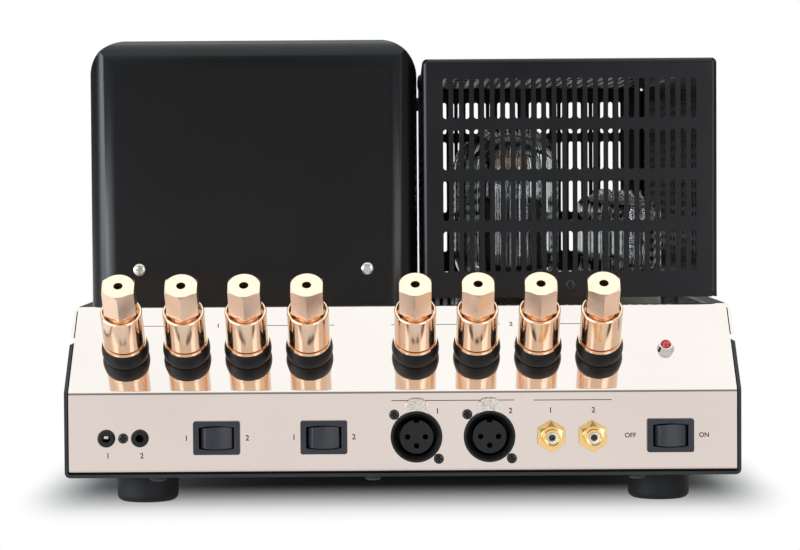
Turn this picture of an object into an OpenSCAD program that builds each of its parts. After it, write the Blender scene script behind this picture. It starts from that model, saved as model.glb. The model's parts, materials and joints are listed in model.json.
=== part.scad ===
// Tube power amplifier: a folded chassis with a sloped terminal end, three transformer covers in a row
// and a slotted cage over two rows of tubes.
// X runs across the terminal end, Y runs from that end to the far end and Z is up.
// The origin is the middle of the footprint, on the surface that the feet stand on.

/* [Chassis] */
// Width over the side walls
chassis_w = 305; // [295:1:325]
// Length from the connector panel to the far end
chassis_l = 419; // [410:1:440]
// Sheet metal thickness
sheet_t = 1.5; // [1.2:0.1:2]
// Outside radius of the folds
fold_r = 2.5; // [2.2:0.1:4]
// Height of the upright connector panel
panel_h = 37; // [36:0.5:42]
// Horizontal run of the sloped terminal panel
slope_run = 39.3; // [38:0.1:46]
// Rise of the sloped terminal panel
slope_rise = 36.9; // [35:0.1:42]
// Depth of the flanges that lie on the tray
flange_l = 14; // [12:0.5:18]
// Gap between the folded panels and the side walls
side_gap = 0.5; // [0.3:0.1:1]
// Height of the bright skirt along each side
skirt_h = 13.8; // [10:0.1:18]
// Gap between the skirt and the tray walls
seam_gap = 2.7; // [1:0.1:4]

/* [Feet and underside screws] */
// Foot diameter at the tray
foot_d = 29; // [24:0.5:34]
// Foot diameter at the floor
foot_toe_d = 28; // [20:0.5:34]
// Foot height
foot_h = 14.1; // [10:0.1:20]
// Rounding of the lower edge of a foot
foot_edge_r = 3; // [1:0.1:4]
// Distance of a foot's centre from the side of the chassis
foot_side = 34; // [22:0.5:50]
// Distance of a foot's centre from the end of the chassis
foot_end = 35; // [32:0.5:60]
// Depth of the screw recess in a foot
foot_recess = 6; // [4:0.5:7]
// Shank diameter of the underside screws
screw_d = 4; // [3:0.1:5]
// Head diameter of the underside screws
screw_head_d = 7.6; // [6:0.1:9]
// Head height of the underside screws
screw_head_h = 2.4; // [1.5:0.1:3]
// Gap round a screw in its hole
screw_clear = 0.2; // [0.1:0.05:0.4]
// Gap round a sunk screw head
head_gap = 0.4; // [0.3:0.05:0.8]
// Places of the tray screws across the chassis
tray_screw_x = [-111, -13.6, 106]; // [-140:0.1:140]

/* [Transformer covers] */
// Width of a cover
cover_w = 153.8; // [148:0.1:156]
// Height of a cover
cover_h = 124.3; // [118:0.1:132]
// Wall of a cover
cover_t = 1.8; // [1.2:0.1:3]
// Corner radius seen from the terminal end
cover_corner_r = 18; // [12:0.5:24]
// Radius of the other edges
cover_edge_r = 13.5; // [7:0.5:16]
// Distance of the covers from the left side of the chassis
cover_side = 6.2; // [3:0.1:10]
// Distance of the first cover behind the top of the slope
cover_setback = 7.7; // [6:0.1:12]
// Distance of the last cover from the far end
cover_rear = 9; // [5:0.5:14]
// Gap between neighbouring covers
cover_gap = 6; // [4:0.5:10]
// Distance between the two screws of a cover
cover_screw_pitch = 106.6; // [70:0.1:115]
// Distance between the two screws on the side of the middle cover
side_screw_pitch = 70; // [40:1:80]
// Height of the cover screws above the top plate
cover_screw_h = 16.9; // [12:0.1:24]
// Shank diameter of the cover screws
cover_screw_d = 3.5; // [3:0.1:4]
// Head diameter of the cover screws
cover_head_d = 5.8; // [5:0.1:8]
// Head height of the cover screws
cover_head_h = 1.8; // [1:0.1:2.5]

/* [Transformers] */
// Width of a laminated core
core_w = 112; // [100:1:116]
// Height of a laminated core
core_h = 94; // [88:1:98]
// Depth of the stack of laminations
core_stack = 46; // [36:1:54]
// Width of the middle leg of a core
leg_w = 38; // [30:1:42]
// Width of a core window
window_w = 18; // [14:0.5:20]
// Height of a core window
window_h = 58; // [46:1:62]
// Gap between a winding and its core
winding_gap = 0.4; // [0.2:0.1:1]
// Thickness of a transformer's mounting frame
frame_t = 2; // [1.5:0.1:3]
// Width of the frame
frame_w = 126; // [120:1:130]
// Depth of the frame
frame_l = 90; // [84:1:96]
// Width of a screw tab on the frame
tab_w = 14; // [10:0.5:20]
// Diameter of the lead hole below a transformer
lead_hole_d = 30; // [20:1:36]

/* [Tube cage] */
// Height of the cage
cage_h = 112; // [100:0.5:124]
// Thickness of the cage sheet
cage_t = 1.2; // [0.8:0.1:1.6]
// Outside radius of the cage folds
cage_fold_r = 2.4; // [2:0.1:4]
// Height of the cage above the top plate
cage_lift = 2.6; // [2:0.1:5]
// Gap between the cage and the transformer covers
cage_cover_gap = 2.5; // [2:0.1:6]
// Distance of the cage from the right side of the chassis
cage_side = 4.5; // [3:0.1:8]
// Distance of the cage behind the top of the slope
cage_setback = 10.7; // [8:0.1:14]
// Distance of the cage from the far end
cage_rear = 7; // [4:0.5:12]
// Length of a slot
slot_l = 18.9; // [14:0.1:20]
// Width of a slot
slot_w = 2.6; // [1.8:0.1:3.2]
// Distance between slots side by side
slot_pitch = 4.83; // [4.4:0.01:6]
// Distance between slots end to end
slot_row_pitch = 23.93; // [22:0.01:28]
// Length of a slot in the cage's long walls
side_slot_l = 10; // [7:0.1:18]
// Plain border beside the slots
slot_border = 9; // [6:0.1:14]
// Plain border below the slots
slot_foot = 12.2; // [10:0.1:18]
// Height of the cut at the lower corners of the end panels
corner_notch = 2.4; // [1:0.1:4]
// Height of the cage screws above the top plate
cage_screw_h = 8.6; // [7:0.1:10]
// Shank diameter of the cage and panel screws
black_screw_d = 2.9; // [2.4:0.1:3.2]
// Head diameter of the cage and panel screws
black_head_d = 4.6; // [4:0.1:5.5]
// Head height of the cage and panel screws
black_head_h = 1.2; // [0.8:0.1:1.8]
// Width of the brackets inside the end panels
bracket_w = 24; // [16:1:36]
// Length of a bracket's foot on the top plate
bracket_l = 14; // [10:0.5:16]
// Thickness of a bracket
bracket_t = 1.5; // [1:0.1:2]
// Height of the brackets above the top plate
bracket_h = 13.8; // [12:0.1:14.5]
// Diameter of the rubber pads below the cage and of its side bumpers
pad_d = 8; // [5:0.5:9]
// Distance of the pads and the bumpers from the corners of the cage
pad_inset = 22; // [10:0.5:30]
// Depth of the side bumpers below the top of the cage
bumper_drop = 10.5; // [8:0.5:16]
// Gap between a bumper and the transformer cover
bumper_gap = 0.3; // [0.2:0.1:0.8]

/* [Tubes] */
// Number of power tubes
power_tubes = 4; // [2:1:4]
// Distance of the power tubes from the left wall of the cage
power_tube_side = 43; // [34:0.5:46]
// Distance of the first and last power tube from the ends of the cage
power_tube_end = 46; // [40:0.5:60]
// Depth of the power tube seats below the top plate
power_seat_drop = 25; // [20:0.5:30]
// Height of a power tube above its seat
power_tube_h = 110; // [100:0.5:116]
// Diameter of a power tube's bulb
power_bulb_d = 46.5; // [40:0.5:50]
// Diameter of a power tube's neck
power_neck_d = 36; // [32:0.5:38]
// Diameter of a power tube's base
power_base_d = 40; // [39.5:0.5:44]
// Height of a power tube's base
power_base_h = 26; // [20:0.5:32]
// Wall of a power tube's base
power_base_t = 1.6; // [1:0.1:1.8]
// Diameter of the key below a power tube's base
tube_key_d = 8; // [6:0.1:10]
// Length of the key
tube_key_l = 9; // [6:0.5:10]
// Gap round a tube in the top plate
tube_clear = 3; // [2:0.1:5]
// Number of small tubes
small_tubes = 7; // [3:1:7]
// Distance of the small tubes from the right wall of the cage
small_tube_side = 33; // [26:0.5:34]
// Distance of the first and last small tube from the ends of the cage
small_tube_end = 43; // [38:0.5:56]
// Height of the small tube seats above the top plate
small_seat_rise = 3.5; // [2:0.1:6]
// Height of a small tube above its seat
small_tube_h = 49.3; // [40:0.1:56]
// Diameter of a small tube
small_bulb_d = 21.8; // [18:0.1:24]
// Height of a small tube's dome
dome_h = 3; // [2:0.1:5]
// Height of the drawn tip on a small tube
tip_h = 3.6; // [2.4:0.1:5]
// Diameter of that tip
tip_d = 4.4; // [3:0.1:6]
// Radius where the tip meets the dome
tip_fillet_r = 1.1; // [0.5:0.1:1.5]
// Height of a power tube's shoulder
shoulder_h = 10; // [6:0.5:14]
// Rounding of a power tube's shoulder
shoulder_r = 7; // [4:0.5:10]
// Wall of the glass
glass_t = 1.1; // [0.8:0.1:1.5]
// Thickness of the glass button below a small tube
button_t = 3; // [2:0.1:4]
// Gap between glass and what holds or fills it
glass_gap = 0.3; // [0.2:0.1:0.5]
// Width of a power tube's anode
power_anode_w = 27; // [20:0.5:29]
// Depth of a power tube's anode
power_anode_d = 15; // [10:0.5:18]
// Height of a power tube's anode above its seat
power_anode_z = 32; // [30:0.5:38]
// Length of a power tube's anode
power_anode_l = 42; // [34:0.5:48]
// Diameter of the mica discs in a power tube
power_mica_d = 31; // [30:0.5:32]
// Width of a small tube's anode
small_anode_w = 15.4; // [12:0.1:16]
// Depth of a small tube's anode
small_anode_d = 8; // [6:0.1:10]
// Height of a small tube's anode above its seat
small_anode_z = 12; // [10:0.5:14]
// Length of a small tube's anode
small_anode_l = 18; // [14:0.5:20]
// Diameter of the mica discs in a small tube
small_mica_d = 17.4; // [16.4:0.1:18.2]
// Thickness of a mica disc
mica_t = 0.8; // [0.5:0.1:1.2]
// Diameter of the rods that carry an anode
rod_d = 2; // [1:0.1:2.4]
// Diameter of the small green lamps below the small tubes
light_d = 3; // [2:0.1:5]
// Length of those lamps
light_l = 8; // [5:0.5:10]

/* [Sockets and boards] */
// Diameter of a power tube socket
power_socket_d = 36; // [30:0.5:40]
// Height of a power tube socket
power_socket_h = 12; // [11:0.5:16]
// Diameter of a small tube socket
small_socket_d = 21; // [16:0.5:24]
// Height of a small tube socket
small_socket_h = 16; // [12:0.5:20]
// Gap round a small socket in the top plate
socket_clear = 1; // [0.5:0.1:2]
// Thickness of the circuit boards
board_t = 1.6; // [1:0.1:2.4]
// Border of a tube board round its sockets
board_border = 10; // [9:0.5:12]
// Diameter of the board spacers
spacer_d = 6; // [4:0.5:7]
// Height of the spacers below the supply board
supply_lift = 6; // [4:0.5:10]
// Width of the supply board
supply_board_w = 110; // [80:1:120]
// Length of the supply board
supply_board_l = 300; // [240:1:310]
// Diameter of a filter capacitor
capacitor_d = 35; // [25:0.5:40]
// Height of a filter capacitor
capacitor_h = 48; // [35:0.5:50]
// Rounding of a capacitor's top edge
capacitor_edge_r = 1.5; // [0.5:0.1:3]
// Number of filter capacitors
capacitors = 6; // [2:1:6]
// Height of the input board
input_board_h = 26; // [22:0.5:28]

/* [Binding posts] */
// Number of posts in a group
posts_in_group = 4; // [2:1:4]
// Distance between neighbouring posts
post_pitch = 27.95; // [25:0.05:29]
// Distance of the first post from the left side
post_side = 26.35; // [22:0.05:32]
// Place of the second group's first post
post_second_x = 6; // [2:0.1:12]
// Distance of the posts up the slope
post_up = 23.9; // [18:0.1:28]
// Diameter of the threaded stud
stud_d = 8; // [7:0.1:8.4]
// Length of the stud behind the slope
stud_tail = 14; // [12:0.5:16]
// Height of the insulator
ring_h = 8.1; // [7:0.1:10]
// Widest diameter of the insulator, before its swell is rounded
ring_d = 22; // [21.4:0.1:22.6]
// Diameter of the insulator at the slope
ring_foot_d = 20.4; // [19.6:0.1:21]
// Diameter of the insulator under the contact disc
ring_top_d = 20.2; // [19.8:0.1:21]
// Height of the insulator's widest part
ring_swell_h = 3.9; // [3:0.1:4.8]
// Radius where the insulator swells
ring_swell_r = 10; // [2:0.5:12]
// Rounding of the insulator's edges
ring_edge_r = 0.7; // [0.3:0.1:1]
// Diameter of the insulator's spigot in the slope
spigot_d = 12; // [10.6:0.1:14]
// Thickness of the insulating washer behind the slope
washer_t = 3; // [2:0.1:4]
// Width of the nut behind the slope, across the flats
post_nut_af = 13; // [12:0.1:16]
// Thickness of that nut
post_nut_t = 5; // [4:0.1:6]
// Diameter of the contact disc on the insulator
disc_d = 19.8; // [19:0.1:20.4]
// Thickness of the contact disc
disc_t = 1.2; // [0.8:0.1:2]
// Gap between the contact disc and the closed clamp sleeve
seat_gap = 0.3; // [0.2:0.05:0.5]
// Diameter of the clamp sleeve
sleeve_d = 18.8; // [17:0.1:19]
// Height of the clamp sleeve
sleeve_h = 18.6; // [16:0.1:22]
// Rounding of the sleeve's edges
sleeve_edge_r = 0.7; // [0.3:0.1:1.2]
// Width of the flat rim on the sleeve's end
sleeve_rim = 0.2; // [0.1:0.1:0.6]
// Depth of the dish in the sleeve's end, measured on its axis
sleeve_dish_h = 7.7; // [3:0.1:9]
// Thickness of the shoulder inside the sleeve
sleeve_floor = 4.5; // [3:0.1:6]
// Gap between the stud and the sleeve's shoulder
stud_gap = 0.3; // [0.2:0.05:0.5]
// Gap above the end of the stud in the knob
stud_end_gap = 1; // [0.5:0.1:2]
// Diameter of the turning neck inside the sleeve
neck_d = 12; // [11:0.1:13]
// Gap of the running fits
run_gap = 0.08; // [0.02:0.01:0.1]
// Height of the groove between the sleeve and the hexagon
groove_h = 1.4; // [0.8:0.1:2.4]
// Width of the hexagon across its flats
hex_af = 14.3; // [13.6:0.1:16]
// Height of the hexagon
hex_h = 14.6; // [12:0.1:18]
// Width of the chamfer on the hexagon's end, at the corners
hex_chamfer = 1.1; // [0.2:0.1:1.1]
// Angle of the chamfer from the hexagon's end
hex_chamfer_a = 30; // [20:1:45]
// Diameter of the plug hole in the hexagon
plug_d = 4.2; // [4:0.1:4.6]
// Length of the plug hole above the thread
plug_l = 12; // [9:0.1:13]

/* [Connectors] */
// Height of the connector row above the tray
row_h = 16.4; // [15:0.1:18]
// Place of the first round input socket
xlr_x = 6.2; // [0:0.1:8]
// Distance between the round input sockets
xlr_pitch = 32.9; // [30:0.1:34]
// Diameter of a round input socket's shell
xlr_d = 23; // [22.4:0.1:23]
// Height of the shell in front of the panel
xlr_proud = 2.2; // [1.6:0.1:3]
// Depth of the shell behind the panel
xlr_depth = 21; // [18:0.5:24]
// Diameter of the shell behind the panel
xlr_body_d = 20.6; // [20:0.1:21]
// Bore of the shell
xlr_bore_d = 17.6; // [16.6:0.1:18.4]
// Diameter of the shell's flared mouth
xlr_mouth_d = 21; // [19:0.1:21.6]
// Depth of that mouth
xlr_mouth_l = 2.4; // [1.4:0.1:3]
// Diameter of the insert
xlr_insert_d = 15.1; // [14:0.1:15.6]
// Depth of the insert's face below the shell's rim
xlr_insert_drop = 1.2; // [0.6:0.1:2]
// Thickness of the shell's closed end
xlr_floor = 3; // [2:0.1:5]
// Distance of the contact holes from the middle
xlr_pin_r = 4; // [3.4:0.1:4.6]
// Diameter of the contact holes
xlr_pin_d = 2.5; // [2:0.1:3]
// Depth of the contact holes
xlr_pin_depth = 10; // [7:0.5:13]
// Distance of the shell's screws from the middle, along each direction
xlr_screw_xy = 10; // [9.9:0.1:10.4]
// Thickness of the shell's flange and screw ears behind the panel
xlr_ear_t = 1; // [0.6:0.1:1.4]
// Width of the release tab
tab_latch_w = 10.3; // [8:0.1:11]
// Height of the release tab's foot above the socket's middle
tab_latch_z = 9.6; // [9.4:0.1:10]
// Height of the release tab
tab_latch_h = 7.8; // [7:0.1:8.6]
// Thickness of the release tab
tab_latch_t = 1.2; // [0.8:0.1:1.6]
// Travel of the release tab
tab_travel = 1.8; // [1:0.1:2]
// Gap left behind the pressed tab
tab_gap = 0.5; // [0.3:0.1:0.8]
// Width of the tab's stem
stem_w = 5; // [3:0.1:6]
// Thickness of the tab's stem
stem_t = 2; // [1.4:0.1:2.4]
// Length of the tab's stem behind the panel
stem_l = 8; // [5:0.5:12]
// Gap round the stem
stem_gap = 0.3; // [0.2:0.05:0.5]
// Place of the first gold input jack
rca_x = 66.8; // [64:0.1:70]
// Distance between the gold input jacks
rca_pitch = 18.7; // [16.6:0.1:20]
// Diameter of a jack's barrel
rca_d = 8.6; // [8:0.1:9]
// Bore of the barrel
rca_bore_d = 5.6; // [5.2:0.1:7]
// Length of the barrel in front of the panel
rca_l = 12; // [10:0.1:15]
// Depth of the jack behind the panel
rca_depth = 9; // [6:0.5:14]
// Width of a jack's nut across its flats
rca_nut_af = 12.6; // [11.6:0.1:13.6]
// Thickness of a jack's nut
rca_nut_t = 2.4; // [1.6:0.1:3.5]
// Hole in the jack's insulator
rca_hole_d = 3.2; // [2.8:0.1:3.6]
// Depth of that hole
rca_hole_depth = 10; // [8:0.5:12]
// Thickness of a jack's closed end
rca_floor = 4.5; // [2:0.5:5]
// Depth of the insulator's face in the barrel
rca_face_drop = 1.5; // [0.5:0.1:3]
// Gap round the insulator
rca_gap = 0.05; // [0.02:0.01:0.1]
// Distance of the first control jack from the left side
jack_side = 19; // [14:0.1:20]
// Distance between the control jacks
jack_pitch = 15.1; // [14:0.1:16]
// Diameter of a control jack's ring
jack_d = 8; // [7:0.1:9]
// Height of the ring in front of the panel
jack_proud = 1.6; // [1:0.1:2.5]
// Diameter of the jack in the panel
jack_body_d = 6; // [5.4:0.1:6.6]
// Depth of the jack behind the panel
jack_depth = 14; // [12:0.5:18]
// Bore of a control jack
jack_bore_d = 3.6; // [3.5:0.05:3.8]
// Thickness of a control jack's closed end
jack_floor = 1; // [0.5:0.1:2]
// Gap round a connector in the panel
hole_gap = 0.2; // [0.1:0.05:0.3]

/* [Switches] */
// Distance of the mode switch from the left side
mode_side = 68.7; // [60:0.1:74]
// Place of the input switch
input_x = -35.5; // [-40:0.1:-30]
// Distance of the power switch from the right side
power_side = 32; // [24:0.1:36]
// Width of a switch bezel
bezel_w = 21.1; // [20.4:0.1:23]
// Height of a switch bezel
bezel_h = 15.1; // [14.8:0.1:17]
// Height of the bezel in front of the panel
bezel_proud = 2; // [1.4:0.1:3]
// Corner radius of the bezel
bezel_r = 1; // [0.5:0.1:2]
// Width of the switch body behind the panel
switch_w = 19; // [18.6:0.1:19.6]
// Height of the switch body behind the panel
switch_h = 13.4; // [13.2:0.1:13.8]
// Depth of the switch body behind the panel
switch_depth = 20; // [16:0.5:24]
// Width of the rocker across its round ends
rocker_w = 15.4; // [14.4:0.1:15.6]
// Height of the rocker
rocker_h = 10; // [9.4:0.1:10.2]
// Distance between the rocker's two front edges
rocker_face_w = 12.2; // [11:0.1:12.6]
// Crown of the rocker's front face
rocker_crown = 0.7; // [0.3:0.1:1.2]
// Depth of the rocker behind its pivot
rocker_back = 2; // [1.4:0.1:3]
// Bow of the rocker's upper and lower edges
rocker_bow = 0.6; // [0.2:0.1:0.8]
// Depth of the pivot behind the bezel's face
pivot_drop = 4.5; // [4:0.1:5.5]
// Diameter of the pivot pins
pivot_d = 2.4; // [1.8:0.1:3]
// Length of the pivot pins in the housing
pivot_l = 0.8; // [0.5:0.1:1]
// Tilt of the rocker to either side
rocker_tilt = 12; // [8:0.5:14]
// Gap round the rocker's ends
rocker_gap = 0.25; // [0.2:0.05:0.4]
// Gap above and below the rocker
rocker_z_gap = 0.4; // [0.3:0.05:0.5]

/* [Pilot lamp] */
// Distance of the lamp from the right side
lamp_side = 32.2; // [24:0.1:36]
// Distance of the lamp up the slope
lamp_up = 25.1; // [20:0.1:32]
// Diameter of the lamp's bezel at the slope
lamp_d = 8; // [7:0.1:10]
// Diameter of the bezel's rim
lamp_rim_d = 6.2; // [5.6:0.1:6.8]
// Height of the bezel
lamp_h = 3; // [2:0.1:4]
// Diameter of the lens
lens_d = 4.8; // [4:0.1:5]
// Height of the lens above the rim
lens_rise = 1.6; // [1:0.1:2]
// Length of the lamp's body behind the slope
lamp_tail = 10; // [8:0.5:14]
// Depth of the lens below the slope
lens_depth = 5; // [3:0.5:6]

/* [Mains inlet] */
// Distance of the inlet from the left side
inlet_side = 52; // [36:0.5:120]
// Height of the inlet above the tray
inlet_h = 34; // [24:0.5:44]
// Width of the inlet's flange
inlet_flange_w = 50; // [44:0.5:52]
// Height of the inlet's flange
inlet_flange_h = 27; // [26:0.5:32]
// Thickness of the flange
inlet_flange_t = 3; // [2:0.1:4]
// Width of the inlet's mouth
inlet_w = 24; // [22:0.1:25]
// Height of the inlet's mouth
inlet_mouth_h = 16; // [15:0.1:17]
// Wall round the mouth
inlet_t = 2; // [1.5:0.1:2.5]
// Depth of the mouth
inlet_depth = 17; // [15:0.5:20]
// Distance between the outer blades
blade_pitch = 14; // [13:0.1:15]
// Height of the middle blade above the outer ones
blade_rise = 4; // [3:0.1:5]
// Width of a blade
blade_w = 2; // [1.6:0.1:2.4]
// Height of a blade
blade_h = 4; // [3:0.1:4.2]
// Length of a blade
blade_l = 13; // [10:0.5:14]
// Distance between the flange screws
inlet_screw_pitch = 40; // [38:0.1:41]

/* [Hidden] */
$fn = 64;

// How far a cut runs past the face that it opens
cut = 1;
// Steps of a folded or rounded corner
arc_steps = 6;
// Points closer than this are one point
same_point = 0.001;
// How far the fold strips of the skirt lap under the top plate
skirt_lap = 0.5;
// Share of a radius that the round end of a tube or of its tip takes up
dome_roundness = 0.96;
// Cross recess of a screw, as shares of its head
cross_l = 0.6;
cross_w = 0.16;
cross_depth = 0.45;

steel = [0.87, 0.84, 0.82];
black = [0.1, 0.1, 0.1];
rubber = [0.07, 0.07, 0.08];
gold = [0.9, 0.74, 0.5];
silver = [0.78, 0.78, 0.78];
glass = [0.8, 0.85, 0.85, 0.4];
board_green = [0.08, 0.3, 0.16];

// A screw goes through two sheets and as far again as one
screw_grip = 3 * sheet_t;

half_w = chassis_w / 2;
floor_z = foot_h;
deck_z = floor_z + sheet_t;
panel_top_z = deck_z + panel_h;
top_z = panel_top_z + slope_rise;
under_z = top_z - sheet_t;
slope_a = atan2(slope_rise, slope_run);
fold_w = chassis_w - 2 * (sheet_t + side_gap);
skirt_z = top_z - skirt_h;
tray_top_z = skirt_z - seam_gap;
row_z = deck_z + row_h;

// The posts reach further forward than the panel, and the inlet's flange further back
hex_r = hex_af / 2 / cos(30);
post_h = ring_h + disc_t + seat_gap + sleeve_h + groove_h + hex_h;
hex_corner_reach = max(
  (post_h - hex_chamfer * tan(hex_chamfer_a)) * sin(slope_a) + hex_r * cos(slope_a),
  post_h * sin(slope_a) + (hex_r - hex_chamfer) * cos(slope_a)
);
post_reach = hex_corner_reach - post_up * cos(slope_a);
front_y = (post_reach - chassis_l - inlet_flange_t - black_head_h) / 2;

module at_front() translate([0, front_y, 0]) children();

// Extrudes a (Y, Z) outline across the chassis
module across(w) translate([-w / 2, 0, 0]) rotate([90, 0, 90]) linear_extrude(w) children();

// Extrudes an (X, Z) outline along the chassis
module along(y, l) translate([0, y + l, 0]) rotate([90, 0, 0]) linear_extrude(l) children();

// A child and its mirror image on the other side of the chassis
module on_both_sides() {
  children();
  mirror([1, 0, 0]) children();
}

// Turns a child of the front end round for the far end
module for_end(far) {
  if (far) mirror([0, 1, 0]) children();
  else children();
}

// Points Z forward, out of the connector panel
module facing_front() rotate([90, 0, 0]) children();

function unit(v) = v / norm(v);
function right_of(v) = [v.y, -v.x];
function turned(v, a) = [v.x * cos(a) - v.y * sin(a), v.x * sin(a) + v.y * cos(a)];
function backwards(list) = [for (i = [len(list) - 1:-1:0]) list[i]];

// Arc of radius r that rounds the corner b of the path a, b, c
function corner_arc(a, b, c, r) =
  let (u = unit(b - a), v = unit(c - b))
  let (turn = atan2(u.x * v.y - u.y * v.x, u * v))
  let (start = b - u * r * tan(abs(turn) / 2))
  let (centre = start - right_of(u) * r * sign(turn))
  [for (i = [0:arc_steps]) centre + turned(start - centre, turn * i / arc_steps)];

// A path with its inner corners rounded, one radius for each corner
function rounded(path, radii) = concat(
  [path[0]],
  [for (i = [1:len(path) - 2]) each corner_arc(path[i - 1], path[i], path[i + 1], radii[i - 1])],
  [path[len(path) - 1]]
);

// The path that runs beside another one, at a distance t to its right
function beside(path, t) = [
  for (i = [0:len(path) - 1])
    let (u = i > 0 ? unit(path[i] - path[i - 1]) : unit(path[1] - path[0]))
    let (v = i < len(path) - 1 ? unit(path[i + 1] - path[i]) : u)
    let (m = right_of(u) + right_of(v))
    path[i] + m * t * 2 / (m * m)
];

// Outline of a folded sheet whose outer face follows the path, with the sheet to its right
function sheet(path, r, t) = distinct(concat(
  rounded(path, [for (p = path) r]),
  backwards(rounded(beside(path, t), [for (p = path) r - t]))
));

// The points of a list that differ from the point before them
function distinct(points) =
  [for (i = [0:len(points) - 1]) if (i == 0 || norm(points[i] - points[i - 1]) > same_point) points[i]];

// A slot with round ends, upright
module slot(l, w) {
  square([w, l - w], center = true);
  for (s = [-1, 1]) translate([0, s * (l - w) / 2]) circle(d = w);
}

// A rectangle with four round corners
module round_rect(w, l, r) {
  square([w - 2 * r, l], center = true);
  square([w, l - 2 * r], center = true);
  for (s = [-1, 1], t = [-1, 1]) translate([s * (w / 2 - r), t * (l / 2 - r)]) circle(r);
}

// A rectangle that stands on its base, with its two upper corners round
module round_top(w, h, r) {
  translate([-w / 2, 0]) square([w, h - r]);
  translate([r - w / 2, 0]) square([w - 2 * r, h]);
  for (s = [-1, 1]) translate([s * (w / 2 - r), h - r]) circle(r);
}

// A hexagon by its width across the flats, with corners to the front and back
module hexagon(af) rotate(30) circle(d = af / cos(30), $fn = 6);

// A crowned screw head on Z = 0 with a cross recess and a shank below it
module screw(d, head_d, head_h, l) {
  edge = head_h / 2;
  profile = [[0, -l], [d / 2, -l], [d / 2, 0], [head_d / 2, 0], [head_d / 2, edge]];
  crown = [for (i = [1:arc_steps]) let (a = 90 * i / arc_steps)
    [head_d / 2 * cos(a), edge + (head_h - edge) * sin(a)]];
  difference() {
    rotate_extrude() polygon(concat(profile, crown));
    for (a = [0, 90]) rotate(a)
      translate([0, 0, head_h * (1 - cross_depth / 2) + cut / 2])
        cube([head_d * cross_l, head_d * cross_w, head_h * cross_depth + cut], center = true);
  }
}

// The region in front of the slope, which trims the side walls
module slope_cut() across(chassis_w + 2 * cut)
  polygon([
    [0, panel_top_z], [slope_run, top_z], [slope_run, top_z + cut],
    [-cut, top_z + cut], [-cut, panel_top_z]
  ]);

// Stands a child on the slope, with Z square to it
module on_slope(x, up)
  translate([x, up * cos(slope_a), panel_top_z + up * sin(slope_a)]) rotate([slope_a, 0, 0]) children();

post_x = [
  for (k = [0:posts_in_group - 1]) k * post_pitch + post_side - half_w,
  for (k = [0:posts_in_group - 1]) k * post_pitch + post_second_x
];
lamp_x = half_w - lamp_side;
mode_x = mode_side - half_w;
power_x = half_w - power_side;
switch_x = [mode_x, input_x, power_x];
jack_x = [jack_side - half_w, jack_side - half_w + jack_pitch];
jack_screw_x = (jack_x[0] + jack_x[1]) / 2;
xlrs_x = [xlr_x, xlr_x + xlr_pitch];
// The stem lies halfway between the shell and the top of the tab, measured from the tab's foot
stem_z = (xlr_d / 2 + stem_gap - tab_latch_z + tab_latch_h - stem_t) / 2;
rcas_x = [rca_x, rca_x + rca_pitch];
inlet_x = inlet_side - half_w;
inlet_z = deck_z + inlet_h;

// The covers share the length that the setback, the far margin and the gaps leave
cover_x = cover_side + cover_w / 2 - half_w;
cover_y = slope_run + cover_setback;
cover_l = (chassis_l - cover_y - cover_rear - 2 * cover_gap) / 3;
function cover_mid_y(i) = cover_y + cover_l / 2 + i * (cover_l + cover_gap);

// The cage takes the width and the length that are left beside the covers
cage_x0 = cover_side + cover_w + cage_cover_gap - half_w;
cage_w = half_w - cage_side - cage_x0;
cage_x = cage_x0 + cage_w / 2;
cage_y = slope_run + cage_setback;
cage_l = chassis_l - cage_y - cage_rear;
cage_z = top_z + cage_lift;
cage_top_z = cage_z + cage_h;
slot_columns = floor((cage_w - 2 * slot_border - slot_w) / slot_pitch) + 1;
slot_rows = floor((cage_h - slot_foot - slot_border - slot_l) / slot_row_pitch) + 1;
side_rows = floor((cage_h - slot_foot - slot_border - slot_w) / slot_pitch) + 1;
top_rows = floor((cage_l - 2 * slot_border - slot_l) / slot_row_pitch) + 1;
side_columns = floor((cage_l - 2 * slot_border - side_slot_l) / row_pitch(side_slot_l)) + 1;

// Slots end to end keep the same strip of sheet between them, whatever their length
function row_pitch(l) = l + slot_row_pitch - slot_l;

power_tube_x = cage_x0 + power_tube_side;
power_pitch = (cage_l - 2 * power_tube_end) / (power_tubes - 1);
power_tube_y = [for (k = [0:power_tubes - 1]) cage_y + power_tube_end + k * power_pitch];
power_seat_z = top_z - power_seat_drop;
small_tube_x = half_w - cage_side - small_tube_side;
small_pitch = (cage_l - 2 * small_tube_end) / (small_tubes - 1);
small_tube_y = [for (k = [0:small_tubes - 1]) cage_y + small_tube_end + k * small_pitch];
small_seat_z = top_z + small_seat_rise;
bolt_y = [flange_l / 2, chassis_l - flange_l / 2];

function clear(d) = d + 2 * screw_clear;

// A hole through a sheet whose face lies at a depth below Z = 0
module drill(d, depth = 0)
  translate([0, 0, -depth - sheet_t - cut]) cylinder(d = d, h = depth + 2 * (sheet_t + cut));

module tray_screw_places() for (x = tray_screw_x, y = bolt_y) translate([x, y, 0]) children();

module foot_places()
  for (s = [-1, 1], y = [foot_end, chassis_l - foot_end])
    translate([s * (half_w - foot_side), y, 0]) children();

module power_places() for (y = power_tube_y) translate([power_tube_x, y, 0]) children();

module small_places() for (y = small_tube_y) translate([small_tube_x, y, 0]) children();

module post_places() for (x = post_x) on_slope(x, post_up) children();

// Screw places in the connector panel: two for each round socket and one between the control jacks
module panel_screw_places() {
  for (x = xlrs_x, s = [-1, 1])
    translate([x + s * xlr_screw_xy, 0, row_z - s * xlr_screw_xy]) facing_front() children();
  translate([jack_screw_x, 0, row_z]) facing_front() children();
}

module panel_hole(x, d)
  translate([x, sheet_t + cut, row_z]) facing_front() cylinder(d = d, h = sheet_t + 2 * cut);

module panel_window(x, z, w, h)
  translate([x - w / 2, -cut, z - h / 2]) cube([w, sheet_t + 2 * cut, h]);

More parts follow.
